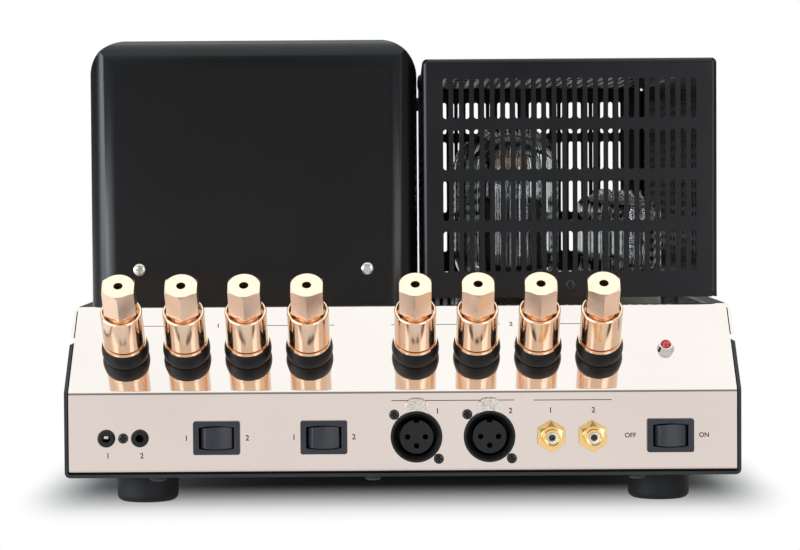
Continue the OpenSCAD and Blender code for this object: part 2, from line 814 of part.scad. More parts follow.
module chassis_holes() {
  tray_screw_places() translate([0, 0, deck_z]) drill(clear(screw_d));
  post_places() drill(clear(spigot_d));
  on_slope(lamp_x, lamp_up) drill(clear(lamp_rim_d));
  for (x = xlrs_x) {
    panel_hole(x, xlr_d + 2 * hole_gap);
    panel_window(x, row_z + tab_latch_z + stem_z + stem_t / 2, stem_w + 2 * stem_gap, stem_t + 2 * stem_gap);
  }
  for (x = rcas_x) panel_hole(x, rca_d + 2 * hole_gap);
  for (x = jack_x) panel_hole(x, jack_body_d + 2 * hole_gap);
  panel_screw_places() drill(clear(black_screw_d));
  for (x = switch_x) panel_window(x, row_z, switch_w + 2 * hole_gap, switch_h + 2 * hole_gap);
  power_places() translate([0, 0, top_z]) drill(power_base_d + 2 * tube_clear);
  small_places() translate([0, 0, top_z]) drill(small_socket_d + 2 * socket_clear);
  for (i = [0:2]) translate([cover_x, cover_mid_y(i), top_z]) drill(lead_hole_d);
  inlet_wall = inlet_t + hole_gap;
  translate([0, chassis_l - sheet_t, 0])
    panel_window(inlet_x, inlet_z, inlet_w + 2 * inlet_wall, inlet_mouth_h + 2 * inlet_wall);
  inlet_screw_places() drill(clear(black_screw_d), inlet_flange_t);
}

module inlet_screw_places()
  for (s = [-1, 1])
    translate([inlet_x + s * inlet_screw_pitch / 2, chassis_l + inlet_flange_t, inlet_z])
      rotate([-90, 0, 0]) children();

// One folded sheet: flange, connector panel, slope, top plate, far end and flange, with a skirt on each side
module chassis_shell() color(steel) at_front() difference() {
  union() {
    across(fold_w) polygon(sheet(
      [
        [flange_l, deck_z], [0, deck_z], [0, panel_top_z], [slope_run, top_z],
        [chassis_l, top_z], [chassis_l, deck_z], [chassis_l - flange_l, deck_z]
      ],
      fold_r, sheet_t
    ));
    difference() {
      on_both_sides() along(0, chassis_l) polygon(sheet(
        [[half_w - fold_r - skirt_lap, top_z], [half_w, top_z], [half_w, skirt_z]], fold_r, sheet_t
      ));
      slope_cut();
    }
  }
  chassis_holes();
}

// The black tray that closes the chassis from below
module bottom_tray() color(black) at_front() difference() {
  along(0, chassis_l) polygon(sheet(
    [[half_w, tray_top_z], [half_w, floor_z], [-half_w, floor_z], [-half_w, tray_top_z]], fold_r, sheet_t
  ));
  slope_cut();
  tray_screw_places() translate([0, 0, floor_z]) drill(clear(screw_d));
  foot_places() translate([0, 0, floor_z]) drill(clear(screw_d));
}

module rubber_feet() color(rubber) at_front() foot_places() difference() {
  rotate_extrude() polygon(rounded(
    [[0, 0], [foot_toe_d / 2, 0], [foot_d / 2, foot_h], [0, foot_h]], [foot_edge_r, foot_edge_r / 2]
  ));
  translate([0, 0, -cut]) cylinder(d = clear(screw_d), h = foot_h + 2 * cut);
  translate([0, 0, -cut]) cylinder(d = screw_head_d + 2 * head_gap, h = foot_recess + cut);
}

module underside_screws() color(black) at_front() {
  tray_screw_places() translate([0, 0, floor_z]) mirror([0, 0, 1])
    screw(screw_d, screw_head_d, screw_head_h, screw_grip);
  foot_places() translate([0, 0, foot_recess]) mirror([0, 0, 1])
    screw(screw_d, screw_head_d, screw_head_h, foot_h - foot_recess + screw_grip);
}

// A deep-drawn block with rounded edges and an open base
module drawn_block(w, l, h, corner_r, edge_r) intersection() {
  along(-l / 2, l) round_top(w, h, corner_r);
  across(w) round_top(l, h, edge_r);
  linear_extrude(h) round_rect(w, l, edge_r);
}

// Puts a child on the outside of the cover wall that takes screws, with Z out of the wall and Y up
module cover_screw_places(i) {
  wall_turn = [0, -90, 180];
  pitch = i == 1 ? side_screw_pitch : cover_screw_pitch;
  out = i == 1 ? cover_w / 2 : cover_l / 2;
  for (s = [-1, 1])
    translate([cover_x, cover_mid_y(i), top_z + cover_screw_h])
      rotate([90, 0, wall_turn[i]]) translate([s * pitch / 2, 0, out]) children();
}

module transformer_cover(i) color(black) at_front() difference() {
  translate([cover_x, cover_mid_y(i), top_z]) difference() {
    drawn_block(cover_w, cover_l, cover_h, cover_corner_r, cover_edge_r);
    translate([0, 0, -cut]) drawn_block(
      cover_w - 2 * cover_t, cover_l - 2 * cover_t, cover_h - cover_t + cut,
      cover_corner_r - cover_t, cover_edge_r - cover_t
    );
  }
  cover_screw_places(i) translate([0, 0, -cover_t - cut])
    cylinder(d = clear(cover_screw_d), h = cover_t + 2 * cut);
}

module front_output_cover() transformer_cover(0);

module power_transformer_cover() transformer_cover(1);

module rear_output_cover() transformer_cover(2);

module cover_screws() color(silver) at_front() for (i = [0:2])
  cover_screw_places(i) screw(cover_screw_d, cover_head_d, cover_head_h, cover_t + 2 * frame_t);

// A plate below each core, with tabs that the cover screws go into
module transformer_frames() color(silver) at_front() for (i = [0:2]) difference() {
  union() {
    translate([cover_x, cover_mid_y(i), top_z + frame_t / 2])
      cube([frame_w, frame_l, frame_t], center = true);
    cover_screw_places(i) frame_tab(i == 1 ? (cover_w - frame_w) / 2 : (cover_l - frame_l) / 2);
  }
  translate([cover_x, cover_mid_y(i), top_z - cut]) cylinder(d = lead_hole_d, h = frame_t + 2 * cut);
  cover_screw_places(i) translate([0, 0, -cover_t - frame_t - cut])
    cylinder(d = cover_screw_d, h = frame_t + 2 * cut);
}

// An upright tab behind a cover wall and its foot, which reaches back to the frame
module frame_tab(reach) {
  foot = -cover_screw_h;
  inner = -cover_t - frame_t;
  translate([tab_w / 2, 0, 0]) rotate([0, -90, 0]) linear_extrude(tab_w) polygon([
    [-cover_t, foot], [-cover_t, tab_w / 2], [inner, tab_w / 2], [inner, foot + frame_t],
    [-reach - cut, foot + frame_t], [-reach - cut, foot]
  ]);
}

module transformer_cores() color([0.35, 0.35, 0.36]) at_front() for (i = [0:2])
  translate([cover_x, cover_mid_y(i), top_z + frame_t]) along(-core_stack / 2, core_stack) difference() {
    translate([-core_w / 2, 0]) square([core_w, core_h]);
    for (s = [-1, 1]) translate([s * (leg_w + window_w) / 2, core_h / 2])
      square([window_w, window_h], center = true);
  }

// The winding fills the windows and stands proud in front of and behind the core
module transformer_windings() color([0.75, 0.6, 0.25]) at_front() for (i = [0:2])
  translate([cover_x, cover_mid_y(i), top_z + frame_t + (core_h - window_h) / 2 + winding_gap])
    linear_extrude(window_h - 2 * winding_gap) difference() {
      reach = window_w - winding_gap;
      round_rect(leg_w + 2 * reach, core_stack + 2 * window_w, window_w / 2);
      square([leg_w + 2 * winding_gap, core_stack + 2 * winding_gap], center = true);
    }

// A field of equal slots, centred on the origin
module slot_field(columns, rows, l)
  for (i = [0:columns - 1], j = [0:rows - 1])
    translate([(i - (columns - 1) / 2) * slot_pitch, (j - (rows - 1) / 2) * row_pitch(l)]) slot(l, slot_w);

module cage_screw_places(far) translate([cage_x, far ? cage_y + cage_l : cage_y, top_z + cage_screw_h])
  rotate([far ? -90 : 90, 0, 0]) children();

// An end wall: a slotted sheet with its upright edges and its top edge folded back
module cage_end_panel(far) difference() {
  translate([cage_x, far ? cage_y + cage_l : cage_y, 0]) for_end(far) {
    upright_h = cage_h - cage_fold_r;
    difference() {
      translate([0, 0, cage_z]) linear_extrude(upright_h) polygon(sheet(
        [[cage_w / 2, cage_fold_r], [cage_w / 2, 0], [-cage_w / 2, 0], [-cage_w / 2, cage_fold_r]],
        cage_fold_r, cage_t
      ));
      for (s = [-1, 1]) translate([s * cage_w / 2, 0, cage_z])
        cube([2 * cage_fold_r, 4 * cage_fold_r, 2 * corner_notch], center = true);
      field_z = cage_z + slot_foot + (slot_l + (slot_rows - 1) * slot_row_pitch) / 2;
      translate([0, cage_t + cut, field_z]) facing_front() linear_extrude(cage_t + 2 * cut)
        slot_field(slot_columns, slot_rows, slot_l);
    }
    across(cage_w - 2 * cage_fold_r) polygon(sheet(
      [[0, cage_top_z - cage_fold_r], [0, cage_top_z], [cage_fold_r, cage_top_z]], cage_fold_r, cage_t
    ));
  }
  cage_screw_places(far) translate([0, 0, -cage_t - cut])
    cylinder(d = clear(black_screw_d), h = cage_t + 2 * cut);
}

module cage_front_panel() color(black) at_front() cage_end_panel(false);

module cage_rear_panel() color(black) at_front() cage_end_panel(true);

// A long wall whose slots lie along the cage
module cage_side_panel(x) {
  l = cage_l - 2 * cage_fold_r;
  h = cage_h - cage_fold_r;
  field_z = slot_foot + (slot_w + (side_rows - 1) * slot_pitch) / 2;
  translate([x, cage_y + cage_fold_r, cage_z]) rotate([90, 0, 90]) linear_extrude(cage_t) difference() {
    square([l, h]);
    translate([l / 2, field_z]) rotate(90) slot_field(side_rows, side_columns, side_slot_l);
  }
}

module cage_left_panel() color(black) at_front() cage_side_panel(cage_x0);

module cage_right_panel() color(black) at_front() cage_side_panel(cage_x0 + cage_w - cage_t);

// The lid of the cage, folded down along its two long edges
module cage_top_panel() color(black) at_front() translate([cage_x, 0, 0]) difference() {
  along(cage_y + cage_fold_r, cage_l - 2 * cage_fold_r) polygon(sheet(
    [
      [-cage_w / 2, cage_top_z - cage_fold_r], [-cage_w / 2, cage_top_z],
      [cage_w / 2, cage_top_z], [cage_w / 2, cage_top_z - cage_fold_r]
    ],
    cage_fold_r, cage_t
  ));
  translate([0, cage_y + cage_l / 2, cage_top_z - cage_t - cut]) linear_extrude(cage_t + 2 * cut)
    slot_field(slot_columns, top_rows, slot_l);
}

// Angle brackets on the top plate, behind the end walls
module cage_brackets() color(black) at_front() for (far = [false, true]) difference() {
  translate([cage_x, far ? cage_y + cage_l : cage_y, 0]) for_end(far)
    across(bracket_w) polygon([
      [cage_t, top_z], [cage_t + bracket_l, top_z], [cage_t + bracket_l, top_z + bracket_t],
      [cage_t + bracket_t, top_z + bracket_t], [cage_t + bracket_t, top_z + bracket_h],
      [cage_t, top_z + bracket_h]
    ]);
  cage_screw_places(far) translate([0, 0, -cage_t - bracket_t - cut])
    cylinder(d = black_screw_d, h = bracket_t + 2 * cut);
}

// Rubber pads between the cage and the top plate, and crowned bumpers on the wall beside the covers
module cage_pads() color(rubber) at_front() {
  for (s = [-1, 1], y = [cage_y + pad_d / 2, cage_y + cage_l - pad_d / 2])
    translate([cage_x + s * (cage_w / 2 - pad_inset), y, top_z]) cylinder(d = pad_d, h = cage_lift);
  for (y = [cage_y + pad_inset, cage_y + cage_l - pad_inset])
    translate([cage_x0, y, cage_top_z - bumper_drop]) rotate([0, -90, 0]) bumper();
}

module bumper() {
  h = cage_cover_gap - bumper_gap;
  crown = [for (i = [0:arc_steps]) let (a = 90 * i / arc_steps) [pad_d / 2 * cos(a), h / 2 + h / 2 * sin(a)]];
  rotate_extrude() polygon(concat([[0, 0], [pad_d / 2, 0]], crown));
}

module black_screws() color(black) at_front() {
  for (far = [false, true]) cage_screw_places(far)
    screw(black_screw_d, black_head_d, black_head_h, cage_t + 2 * bracket_t);
  panel_screw_places() screw(black_screw_d, black_head_d, black_head_h, xlr_ear_t + screw_grip);
  inlet_screw_places() screw(black_screw_d, black_head_d, black_head_h, inlet_flange_t + screw_grip);
}

// Round sockets: deep ones for the power tubes below the top plate, tall ones for the small tubes through it
module tube_sockets() color([0.85, 0.83, 0.78]) at_front() {
  power_places() translate([0, 0, power_seat_z - power_socket_h]) difference() {
    cylinder(d = power_socket_d, h = power_socket_h);
    translate([0, 0, power_socket_h - tube_key_l - cut])
      cylinder(d = tube_key_d + 2 * glass_gap, h = tube_key_l + 2 * cut);
  }
  small_places() translate([0, 0, small_seat_z - small_socket_h]) difference() {
    cylinder(d = small_socket_d, h = small_socket_h);
    translate([0, 0, small_socket_h - glass_gap - light_l])
      cylinder(d = light_d + 2 * glass_gap, h = light_l + glass_gap + cut);
  }
}

// A cup with a key below it
module power_tube_bases() color([0.16, 0.13, 0.11]) at_front() power_places() {
  r = power_base_d / 2;
  translate([0, 0, power_seat_z]) rotate_extrude() polygon([
    [0, -tube_key_l], [tube_key_d / 2, -tube_key_l], [tube_key_d / 2, 0], [r, 0], [r, power_base_h],
    [r - power_base_t, power_base_h], [r - power_base_t, power_base_t], [0, power_base_t]
  ]);
}

// Half outline of a power tube's bulb: a neck, a shoulder, straight walls and a dome
function bulb_outline(neck_r, r, foot, shoulder, top) = concat(
  [[0, foot]],
  rounded(
    [[neck_r, foot], [neck_r, shoulder], [r, shoulder + shoulder_h], [r, top], [0, top]],
    [shoulder_r, shoulder_r, r * dome_roundness]
  )
);

// Half outline of a small tube: a round foot, straight walls, a dome and a drawn tip
function small_outline(r, top) = rounded(
  [[0, 0], [r, 0], [r, top - tip_h - dome_h], [tip_d / 2, top - tip_h], [tip_d / 2, top], [0, top]],
  [button_t / 2, dome_h, tip_fillet_r, dome_roundness * tip_d / 2]
);

// Half outline of the space in a small tube
function small_hollow(r, top) =
  rounded([[0, button_t], [r, button_t], [r, top], [0, top]], [button_t / 2, dome_h]);

module tube_bulbs() color(glass) at_front() {
  neck_r = power_base_d / 2 - power_base_t - glass_gap;
  foot = power_base_t + glass_gap;
  power_places() translate([0, 0, power_seat_z]) rotate_extrude() difference() {
    polygon(bulb_outline(min(neck_r, power_neck_d / 2), power_bulb_d / 2, foot, power_base_h, power_tube_h));
    polygon(bulb_outline(
      min(neck_r, power_neck_d / 2) - glass_t, power_bulb_d / 2 - glass_t,
      foot + glass_t, power_base_h, power_tube_h - glass_t
    ));
  }
  small_places() translate([0, 0, small_seat_z]) rotate_extrude() difference() {
    polygon(small_outline(small_bulb_d / 2, small_tube_h));
    polygon(small_hollow(small_bulb_d / 2 - glass_t, small_tube_h - tip_h - dome_h));
  }
}

// Plates between two mica discs, on two rods that stand on the glass
module anode(w, d, z, l, mica_d, foot) {
  translate([0, 0, z]) linear_extrude(l) rotate(90) slot(w, d);
  for (disc_z = [z - mica_t, z + l]) translate([0, 0, disc_z]) cylinder(d = mica_d, h = mica_t);
  for (s = [-1, 1]) translate([s * w / 4, 0, foot]) cylinder(d = rod_d, h = z - foot);
}

module tube_anodes() color([0.35, 0.35, 0.36]) at_front() {
  power_foot = power_base_t + glass_gap + glass_t;
  power_places() translate([0, 0, power_seat_z])
    anode(power_anode_w, power_anode_d, power_anode_z, power_anode_l, power_mica_d, power_foot);
  small_places() translate([0, 0, small_seat_z])
    anode(small_anode_w, small_anode_d, small_anode_z, small_anode_l, small_mica_d, button_t);
}

module socket_lights() color([0.2, 0.9, 0.3]) at_front() small_places()
  translate([0, 0, small_seat_z - glass_gap - light_l]) cylinder(d = light_d, h = light_l);

// Board outlines as [x, y, z, w, l] with x and y in the middle and z below the board
output_board = [
  power_tube_x, cage_y + cage_l / 2, power_seat_z - power_socket_h - board_t,
  power_socket_d + 2 * board_border, (power_tubes - 1) * power_pitch + power_socket_d + 2 * board_border
];
driver_board = [
  small_tube_x, cage_y + cage_l / 2, small_seat_z - small_socket_h - board_t,
  small_socket_d + 2 * board_border, (small_tubes - 1) * small_pitch + small_socket_d + 2 * board_border
];
supply_board = [cover_x, chassis_l / 2, deck_z + supply_lift, supply_board_w, supply_board_l];

module board(b) translate([b[0] - b[3] / 2, b[1] - b[4] / 2, b[2]]) cube([b[3], b[4], board_t]);

module board_corners(b)
  for (s = [-1, 1], t = [-1, 1])
    translate([b[0] + s * (b[3] - spacer_d) / 2, b[1] + t * (b[4] - spacer_d) / 2, 0]) children();

module circuit_boards() color(board_green) at_front() {
  board(output_board);
  board(driver_board);
  board(supply_board);
  input_w = rcas_x[1] - xlrs_x[0] + xlr_d + rca_nut_af;
  translate([xlrs_x[0] - xlr_d / 2, xlr_depth, row_z - input_board_h / 2])
    cube([input_w, board_t, input_board_h]);
}

// Spacers hang the tube boards from the top plate and stand the supply board on the tray
module board_spacers() color(silver) at_front() {
  for (b = [output_board, driver_board])
    board_corners(b) translate([0, 0, b[2] + board_t]) cylinder(d = spacer_d, h = under_z - b[2] - board_t);
  board_corners(supply_board) translate([0, 0, deck_z]) cylinder(d = spacer_d, h = supply_lift);
}

module filter_capacitors() color([0.12, 0.16, 0.3]) at_front() {
  rows = ceil(capacitors / 2);
  step = supply_board_l / rows;
  for (k = [0:capacitors - 1])
    translate([
      cover_x + (k % 2 - 0.5) * supply_board_w / 2,
      chassis_l / 2 + (floor(k / 2) - (rows - 1) / 2) * step,
      deck_z + supply_lift + board_t
    ])
      rotate_extrude() polygon(rounded(
        [[0, 0], [capacitor_d / 2, 0], [capacitor_d / 2, capacitor_h], [0, capacitor_h]],
        [capacitor_edge_r, capacitor_edge_r]
      ));
}

// Heights along a post, measured from the slope
disc_z = ring_h;
sleeve_z = ring_h + disc_t + seat_gap;
sleeve_top = sleeve_z + sleeve_h;
hex_z = sleeve_top + groove_h;
hex_top = hex_z + hex_h;
thread_top = hex_top - plug_l;
stud_top = thread_top - stud_end_gap;
neck_foot = sleeve_z + sleeve_floor + stud_gap;

// A barrel-shaped black ring in front of the slope, with a spigot in it and a flat washer behind it
module post_insulators() color(black) at_front() post_places() {
  difference() {
    union() {
      rotate_extrude() polygon(rounded(
        [[0, 0], [ring_foot_d / 2, 0], [ring_d / 2, ring_swell_h], [ring_top_d / 2, ring_h], [0, ring_h]],
        [ring_edge_r, ring_swell_r, ring_edge_r]
      ));
      translate([0, 0, stud_gap - sheet_t]) cylinder(d = spigot_d, h = sheet_t + cut);
    }
    translate([0, 0, -sheet_t - cut]) cylinder(d = stud_d + 2 * stud_gap, h = ring_h + sheet_t + 2 * cut);
  }
  translate([0, 0, -sheet_t - washer_t]) difference() {
    cylinder(d = ring_foot_d, h = washer_t);
    translate([0, 0, -cut]) cylinder(d = stud_d + 2 * stud_gap, h = washer_t + 2 * cut);
  }
}

// A threaded stud with its contact disc and its plug bore, and the nut that holds it
module post_studs() color(gold) at_front() post_places() {
  difference() {
    union() {
      translate([0, 0, -sheet_t - stud_tail]) cylinder(d = stud_d, h = sheet_t + stud_tail + stud_top);
      translate([0, 0, disc_z]) cylinder(d = disc_d, h = disc_t);
    }
    translate([0, 0, stud_top - plug_l]) cylinder(d = plug_d, h = plug_l + cut);
  }
  translate([0, 0, -sheet_t - washer_t - post_nut_t]) difference() {
    linear_extrude(post_nut_t) hexagon(post_nut_af);
    translate([0, 0, -cut]) cylinder(d = stud_d + 2 * run_gap, h = post_nut_t + 2 * cut);
  }
}

// The sleeve that presses a wire on the contact disc, with a dish in its end around the neck
module post_sleeve(k) color(gold) at_front() on_slope(post_x[k], post_up) difference() {
  dish_r = sleeve_d / 2 - sleeve_edge_r - sleeve_rim;
  outside = [[0, 0], [sleeve_d / 2, 0], [sleeve_d / 2, sleeve_h], [dish_r, sleeve_h]];
  translate([0, 0, sleeve_z]) rotate_extrude() polygon(concat(
    rounded(outside, [sleeve_edge_r, sleeve_edge_r]), [[0, sleeve_h - sleeve_dish_h]]
  ));
  translate([0, 0, sleeve_z - cut]) cylinder(d = stud_d + 2 * stud_gap, h = sleeve_floor + 2 * cut);
  translate([0, 0, sleeve_z + sleeve_floor]) cylinder(d = neck_d + 2 * run_gap, h = sleeve_h);
}

// The hexagon with its neck, which turns in the sleeve and runs on the stud
module post_knob(k) color(gold) at_front() on_slope(post_x[k], post_up) difference() {
  union() {
    translate([0, 0, neck_foot]) cylinder(d = neck_d, h = hex_z - neck_foot + cut);
    intersection() {
      translate([0, 0, hex_z]) linear_extrude(hex_h) hexagon(hex_af);
      rotate_extrude() polygon([
        [0, hex_z - cut], [hex_r + cut, hex_z - cut],
        [hex_r + cut, hex_top - (hex_chamfer + cut) * tan(hex_chamfer_a)],
        [hex_r - hex_chamfer, hex_top], [0, hex_top]
      ]);
    }
  }
  translate([0, 0, neck_foot - cut]) cylinder(d = stud_d + 2 * run_gap, h = thread_top - neck_foot + cut);
  translate([0, 0, thread_top - cut]) cylinder(d = plug_d, h = plug_l + 2 * cut);
}

// A round shell through the panel with a flange and two screw ears behind it, a flared mouth and a back
module xlr_shells() color(black) at_front()
  for (x = xlrs_x) translate([x, 0, row_z]) facing_front() difference() {
    bore_r = xlr_bore_d / 2;
    flare = (xlr_mouth_d / 2 - bore_r) / xlr_mouth_l;
    flange_z = -sheet_t - xlr_ear_t;
    union() {
      translate([0, 0, flange_z]) cylinder(d = xlr_d, h = xlr_proud - flange_z);
      translate([0, 0, -xlr_depth]) cylinder(d = xlr_body_d, h = xlr_depth);
      translate([0, 0, flange_z]) cylinder(d = xlr_d + 2 * (hole_gap + xlr_ear_t), h = xlr_ear_t);
      for (s = [-1, 1]) translate([s * xlr_screw_xy, -s * xlr_screw_xy, flange_z])
        cylinder(d = black_head_d + 2 * xlr_ear_t, h = xlr_ear_t);
    }
    rotate_extrude() polygon([
      [0, xlr_floor - xlr_depth], [bore_r, xlr_floor - xlr_depth], [bore_r, xlr_proud - xlr_mouth_l],
      [bore_r + flare * (xlr_mouth_l + cut), xlr_proud + cut], [0, xlr_proud + cut]
    ]);
    for (s = [-1, 1]) translate([s * xlr_screw_xy, -s * xlr_screw_xy, flange_z - cut])
      cylinder(d = black_screw_d, h = xlr_ear_t + 2 * cut);
  }

// The face with the three contact holes and a key slot at the top
module xlr_inserts() color([0.14, 0.14, 0.15]) at_front() for (x = xlrs_x) translate([x, 0, row_z]) {
  face = xlr_proud - xlr_insert_drop;
  back = xlr_depth - xlr_floor;
  difference() {
    translate([0, back, 0]) facing_front() cylinder(d = xlr_insert_d, h = back + face);
    for (p = [[-xlr_pin_r, 0], [xlr_pin_r, 0], [0, -xlr_pin_r]])
      translate([p.x, xlr_pin_depth - face, p.y]) facing_front()
        cylinder(d = xlr_pin_d, h = xlr_pin_depth + cut);
    translate([-xlr_pin_d / 2, -face - cut, (xlr_insert_d - xlr_pin_d) / 2])
      cube([xlr_pin_d, xlr_pin_depth + cut, xlr_pin_d]);
  }
}

// A bright tab with a rounded top and a hollow round the shell, on a stem that goes through the panel
module release_tab(x) color(silver) at_front() translate([x, 0, row_z + tab_latch_z]) {
  back = tab_gap + tab_travel;
  translate([0, -back, 0]) facing_front() linear_extrude(tab_latch_t) difference() {
    round_top(tab_latch_w, tab_latch_h, tab_latch_h / 2);
    translate([0, -tab_latch_z]) circle(d = xlr_d + 2 * stem_gap);
  }
  translate([-stem_w / 2, -back, stem_z]) cube([stem_w, back + stem_l, stem_t]);
}

module left_release_tab() release_tab(xlrs_x[0]);

module right_release_tab() release_tab(xlrs_x[1]);

// A gold barrel with a hexagonal nut against the panel
module rca_jacks() color([0.93, 0.75, 0.36]) at_front()
  for (x = rcas_x) translate([x, 0, row_z]) facing_front() difference() {
    union() {
      translate([0, 0, -rca_depth]) cylinder(d = rca_d, h = rca_depth + rca_l);
      linear_extrude(rca_nut_t) hexagon(rca_nut_af);
    }
    translate([0, 0, rca_floor - rca_depth]) cylinder(d = rca_bore_d, h = rca_depth + rca_l);
  }

module rca_insulators() color([0.93, 0.92, 0.88]) at_front()
  for (x = rcas_x) translate([x, 0, row_z]) facing_front() difference() {
    back = rca_floor - rca_depth;
    face = rca_l - rca_face_drop;
    translate([0, 0, back]) cylinder(d = rca_bore_d - 2 * rca_gap, h = face - back);
    translate([0, 0, face - rca_hole_depth]) cylinder(d = rca_hole_d, h = rca_hole_depth + cut);
  }

module control_jacks() color(black) at_front()
  for (x = jack_x) translate([x, 0, row_z]) facing_front() difference() {
    body_r = jack_body_d / 2;
    edge = jack_proud / 2;
    rotate_extrude() polygon([
      [0, -jack_depth], [body_r, -jack_depth], [body_r, 0], [jack_d / 2, 0],
      [jack_d / 2, jack_proud - edge], [jack_d / 2 - edge, jack_proud], [0, jack_proud]
    ]);
    translate([0, 0, jack_floor - jack_depth]) cylinder(d = jack_bore_d, h = jack_depth + jack_proud);
  }

// An oblong with straight ends and bowed upper and lower edges
module bowed(w, h, bow) intersection() {
  r = (w * w / 4 + bow * bow) / 2 / bow;
  square([w, h], center = true);
  translate([0, h / 2 - r]) circle(r);
  translate([0, r - h / 2]) circle(r);
}

pivot_y = pivot_drop - bezel_proud;

// The bezel and body of a switch, with a bowed well for the rocker and holes for its pins
module switch_housings() color([0.2, 0.2, 0.23]) at_front()
  for (x = switch_x) translate([x, 0, row_z]) difference() {
    well_w = rocker_w + 2 * rocker_gap;
    well_h = rocker_h + 2 * rocker_z_gap;
    well_floor = pivot_y + well_w / 2;
    union() {
      facing_front() linear_extrude(bezel_proud) round_rect(bezel_w, bezel_h, bezel_r);
      translate([-switch_w / 2, 0, -switch_h / 2]) cube([switch_w, switch_depth, switch_h]);
    }
    translate([0, well_floor, 0]) facing_front()
      linear_extrude(well_floor + bezel_proud + cut) bowed(well_w, well_h, rocker_bow);
    translate([0, pivot_y, -well_h / 2 - pivot_l - run_gap])
      cylinder(d = pivot_d + 2 * run_gap, h = well_h + 2 * (pivot_l + run_gap));
  }

// A rocker with round ends and a crowned face, tilted so that its right end is pressed in
module rocker(x) color([0.19, 0.2, 0.23]) at_front() translate([x, pivot_y, row_z]) {
  r = rocker_w / 2;
  edge = sqrt(r * r - rocker_face_w * rocker_face_w / 4);
  crown_r = (rocker_face_w * rocker_face_w / 4 + rocker_crown * rocker_crown) / 2 / rocker_crown;
  rotate(rocker_tilt) intersection() {
    translate([0, 0, -rocker_h / 2]) linear_extrude(rocker_h) intersection() {
      circle(r);
      translate([-r, -r]) square([2 * r, r + rocker_back]);
      translate([0, crown_r - edge - rocker_crown]) circle(crown_r);
    }
    translate([0, r, 0]) facing_front() linear_extrude(2 * r) bowed(rocker_w, rocker_h, rocker_bow);
  }
  pin_h = rocker_h + 2 * (rocker_z_gap + pivot_l);
  translate([0, 0, -pin_h / 2]) cylinder(d = pivot_d, h = pin_h);
}

module mode_rocker() rocker(mode_x);

module input_rocker() rocker(input_x);

module power_rocker() rocker(power_x);

module lamp_bezel() color(silver) at_front() on_slope(lamp_x, lamp_up) difference() {
  rotate_extrude() polygon([
    [0, -sheet_t - lamp_tail], [lamp_rim_d / 2, -sheet_t - lamp_tail], [lamp_rim_d / 2, 0],
    [lamp_d / 2, 0], [lamp_rim_d / 2, lamp_h], [0, lamp_h]
  ]);
  translate([0, 0, -lens_depth]) cylinder(d = lens_d + 2 * run_gap, h = lens_depth + lamp_h + cut);
}

module lamp_lens() color([0.8, 0.08, 0.1]) at_front() on_slope(lamp_x, lamp_up) {
  r = lens_d / 2;
  dome = [for (i = [0:arc_steps]) let (a = 90 * i / arc_steps) [r * cos(a), lamp_h + lens_rise * sin(a)]];
  rotate_extrude() polygon(concat([[0, -lens_depth], [r, -lens_depth]], dome));
}

// A shrouded inlet with three blades in the far end
module mains_inlet() color(black) at_front() translate([inlet_x, chassis_l, inlet_z]) difference() {
  union() {
    difference() {
      union() {
        along(0, inlet_flange_t) round_rect(inlet_flange_w, inlet_flange_h, inlet_t);
        along(-inlet_depth, inlet_depth + cut)
          square([inlet_w + 2 * inlet_t, inlet_mouth_h + 2 * inlet_t], center = true);
      }
      along(inlet_t - inlet_depth, inlet_depth + inlet_flange_t)
        square([inlet_w, inlet_mouth_h], center = true);
    }
    for (p = [[-blade_pitch / 2, -blade_rise / 2], [blade_pitch / 2, -blade_rise / 2], [0, blade_rise / 2]])
      translate([p.x - blade_w / 2, -inlet_depth + inlet_t / 2, p.y - blade_h / 2])
        cube([blade_w, blade_l + inlet_t / 2, blade_h]);
  }
  for (s = [-1, 1]) translate([s * inlet_screw_pitch / 2, inlet_flange_t + cut, 0]) facing_front()
    cylinder(d = clear(black_screw_d), h = inlet_flange_t + 2 * cut);
}

chassis_shell();
bottom_tray();
rubber_feet();
underside_screws();
front_output_cover();
power_transformer_cover();
rear_output_cover();
cover_screws();
transformer_frames();
transformer_cores();
transformer_windings();
cage_front_panel();
cage_rear_panel();
cage_left_panel();
cage_right_panel();
cage_top_panel();
cage_brackets();
cage_pads();
black_screws();
tube_sockets();
power_tube_bases();
tube_bulbs();
tube_anodes();
socket_lights();
circuit_boards();
board_spacers();
filter_capacitors();
post_insulators();
post_studs();
for (k = [1:2 * posts_in_group]) {
  post_sleeve(k - 1);
  post_knob(k - 1);
}
xlr_shells();
xlr_inserts();
left_release_tab();
right_release_tab();
rca_jacks();
rca_insulators();
control_jacks();
switch_housings();
mode_rocker();
input_rocker();
power_rocker();
lamp_bezel();
lamp_lens();
mains_inlet();
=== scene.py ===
import json
import math

import bmesh
import bpy
from mathutils import Matrix, Vector


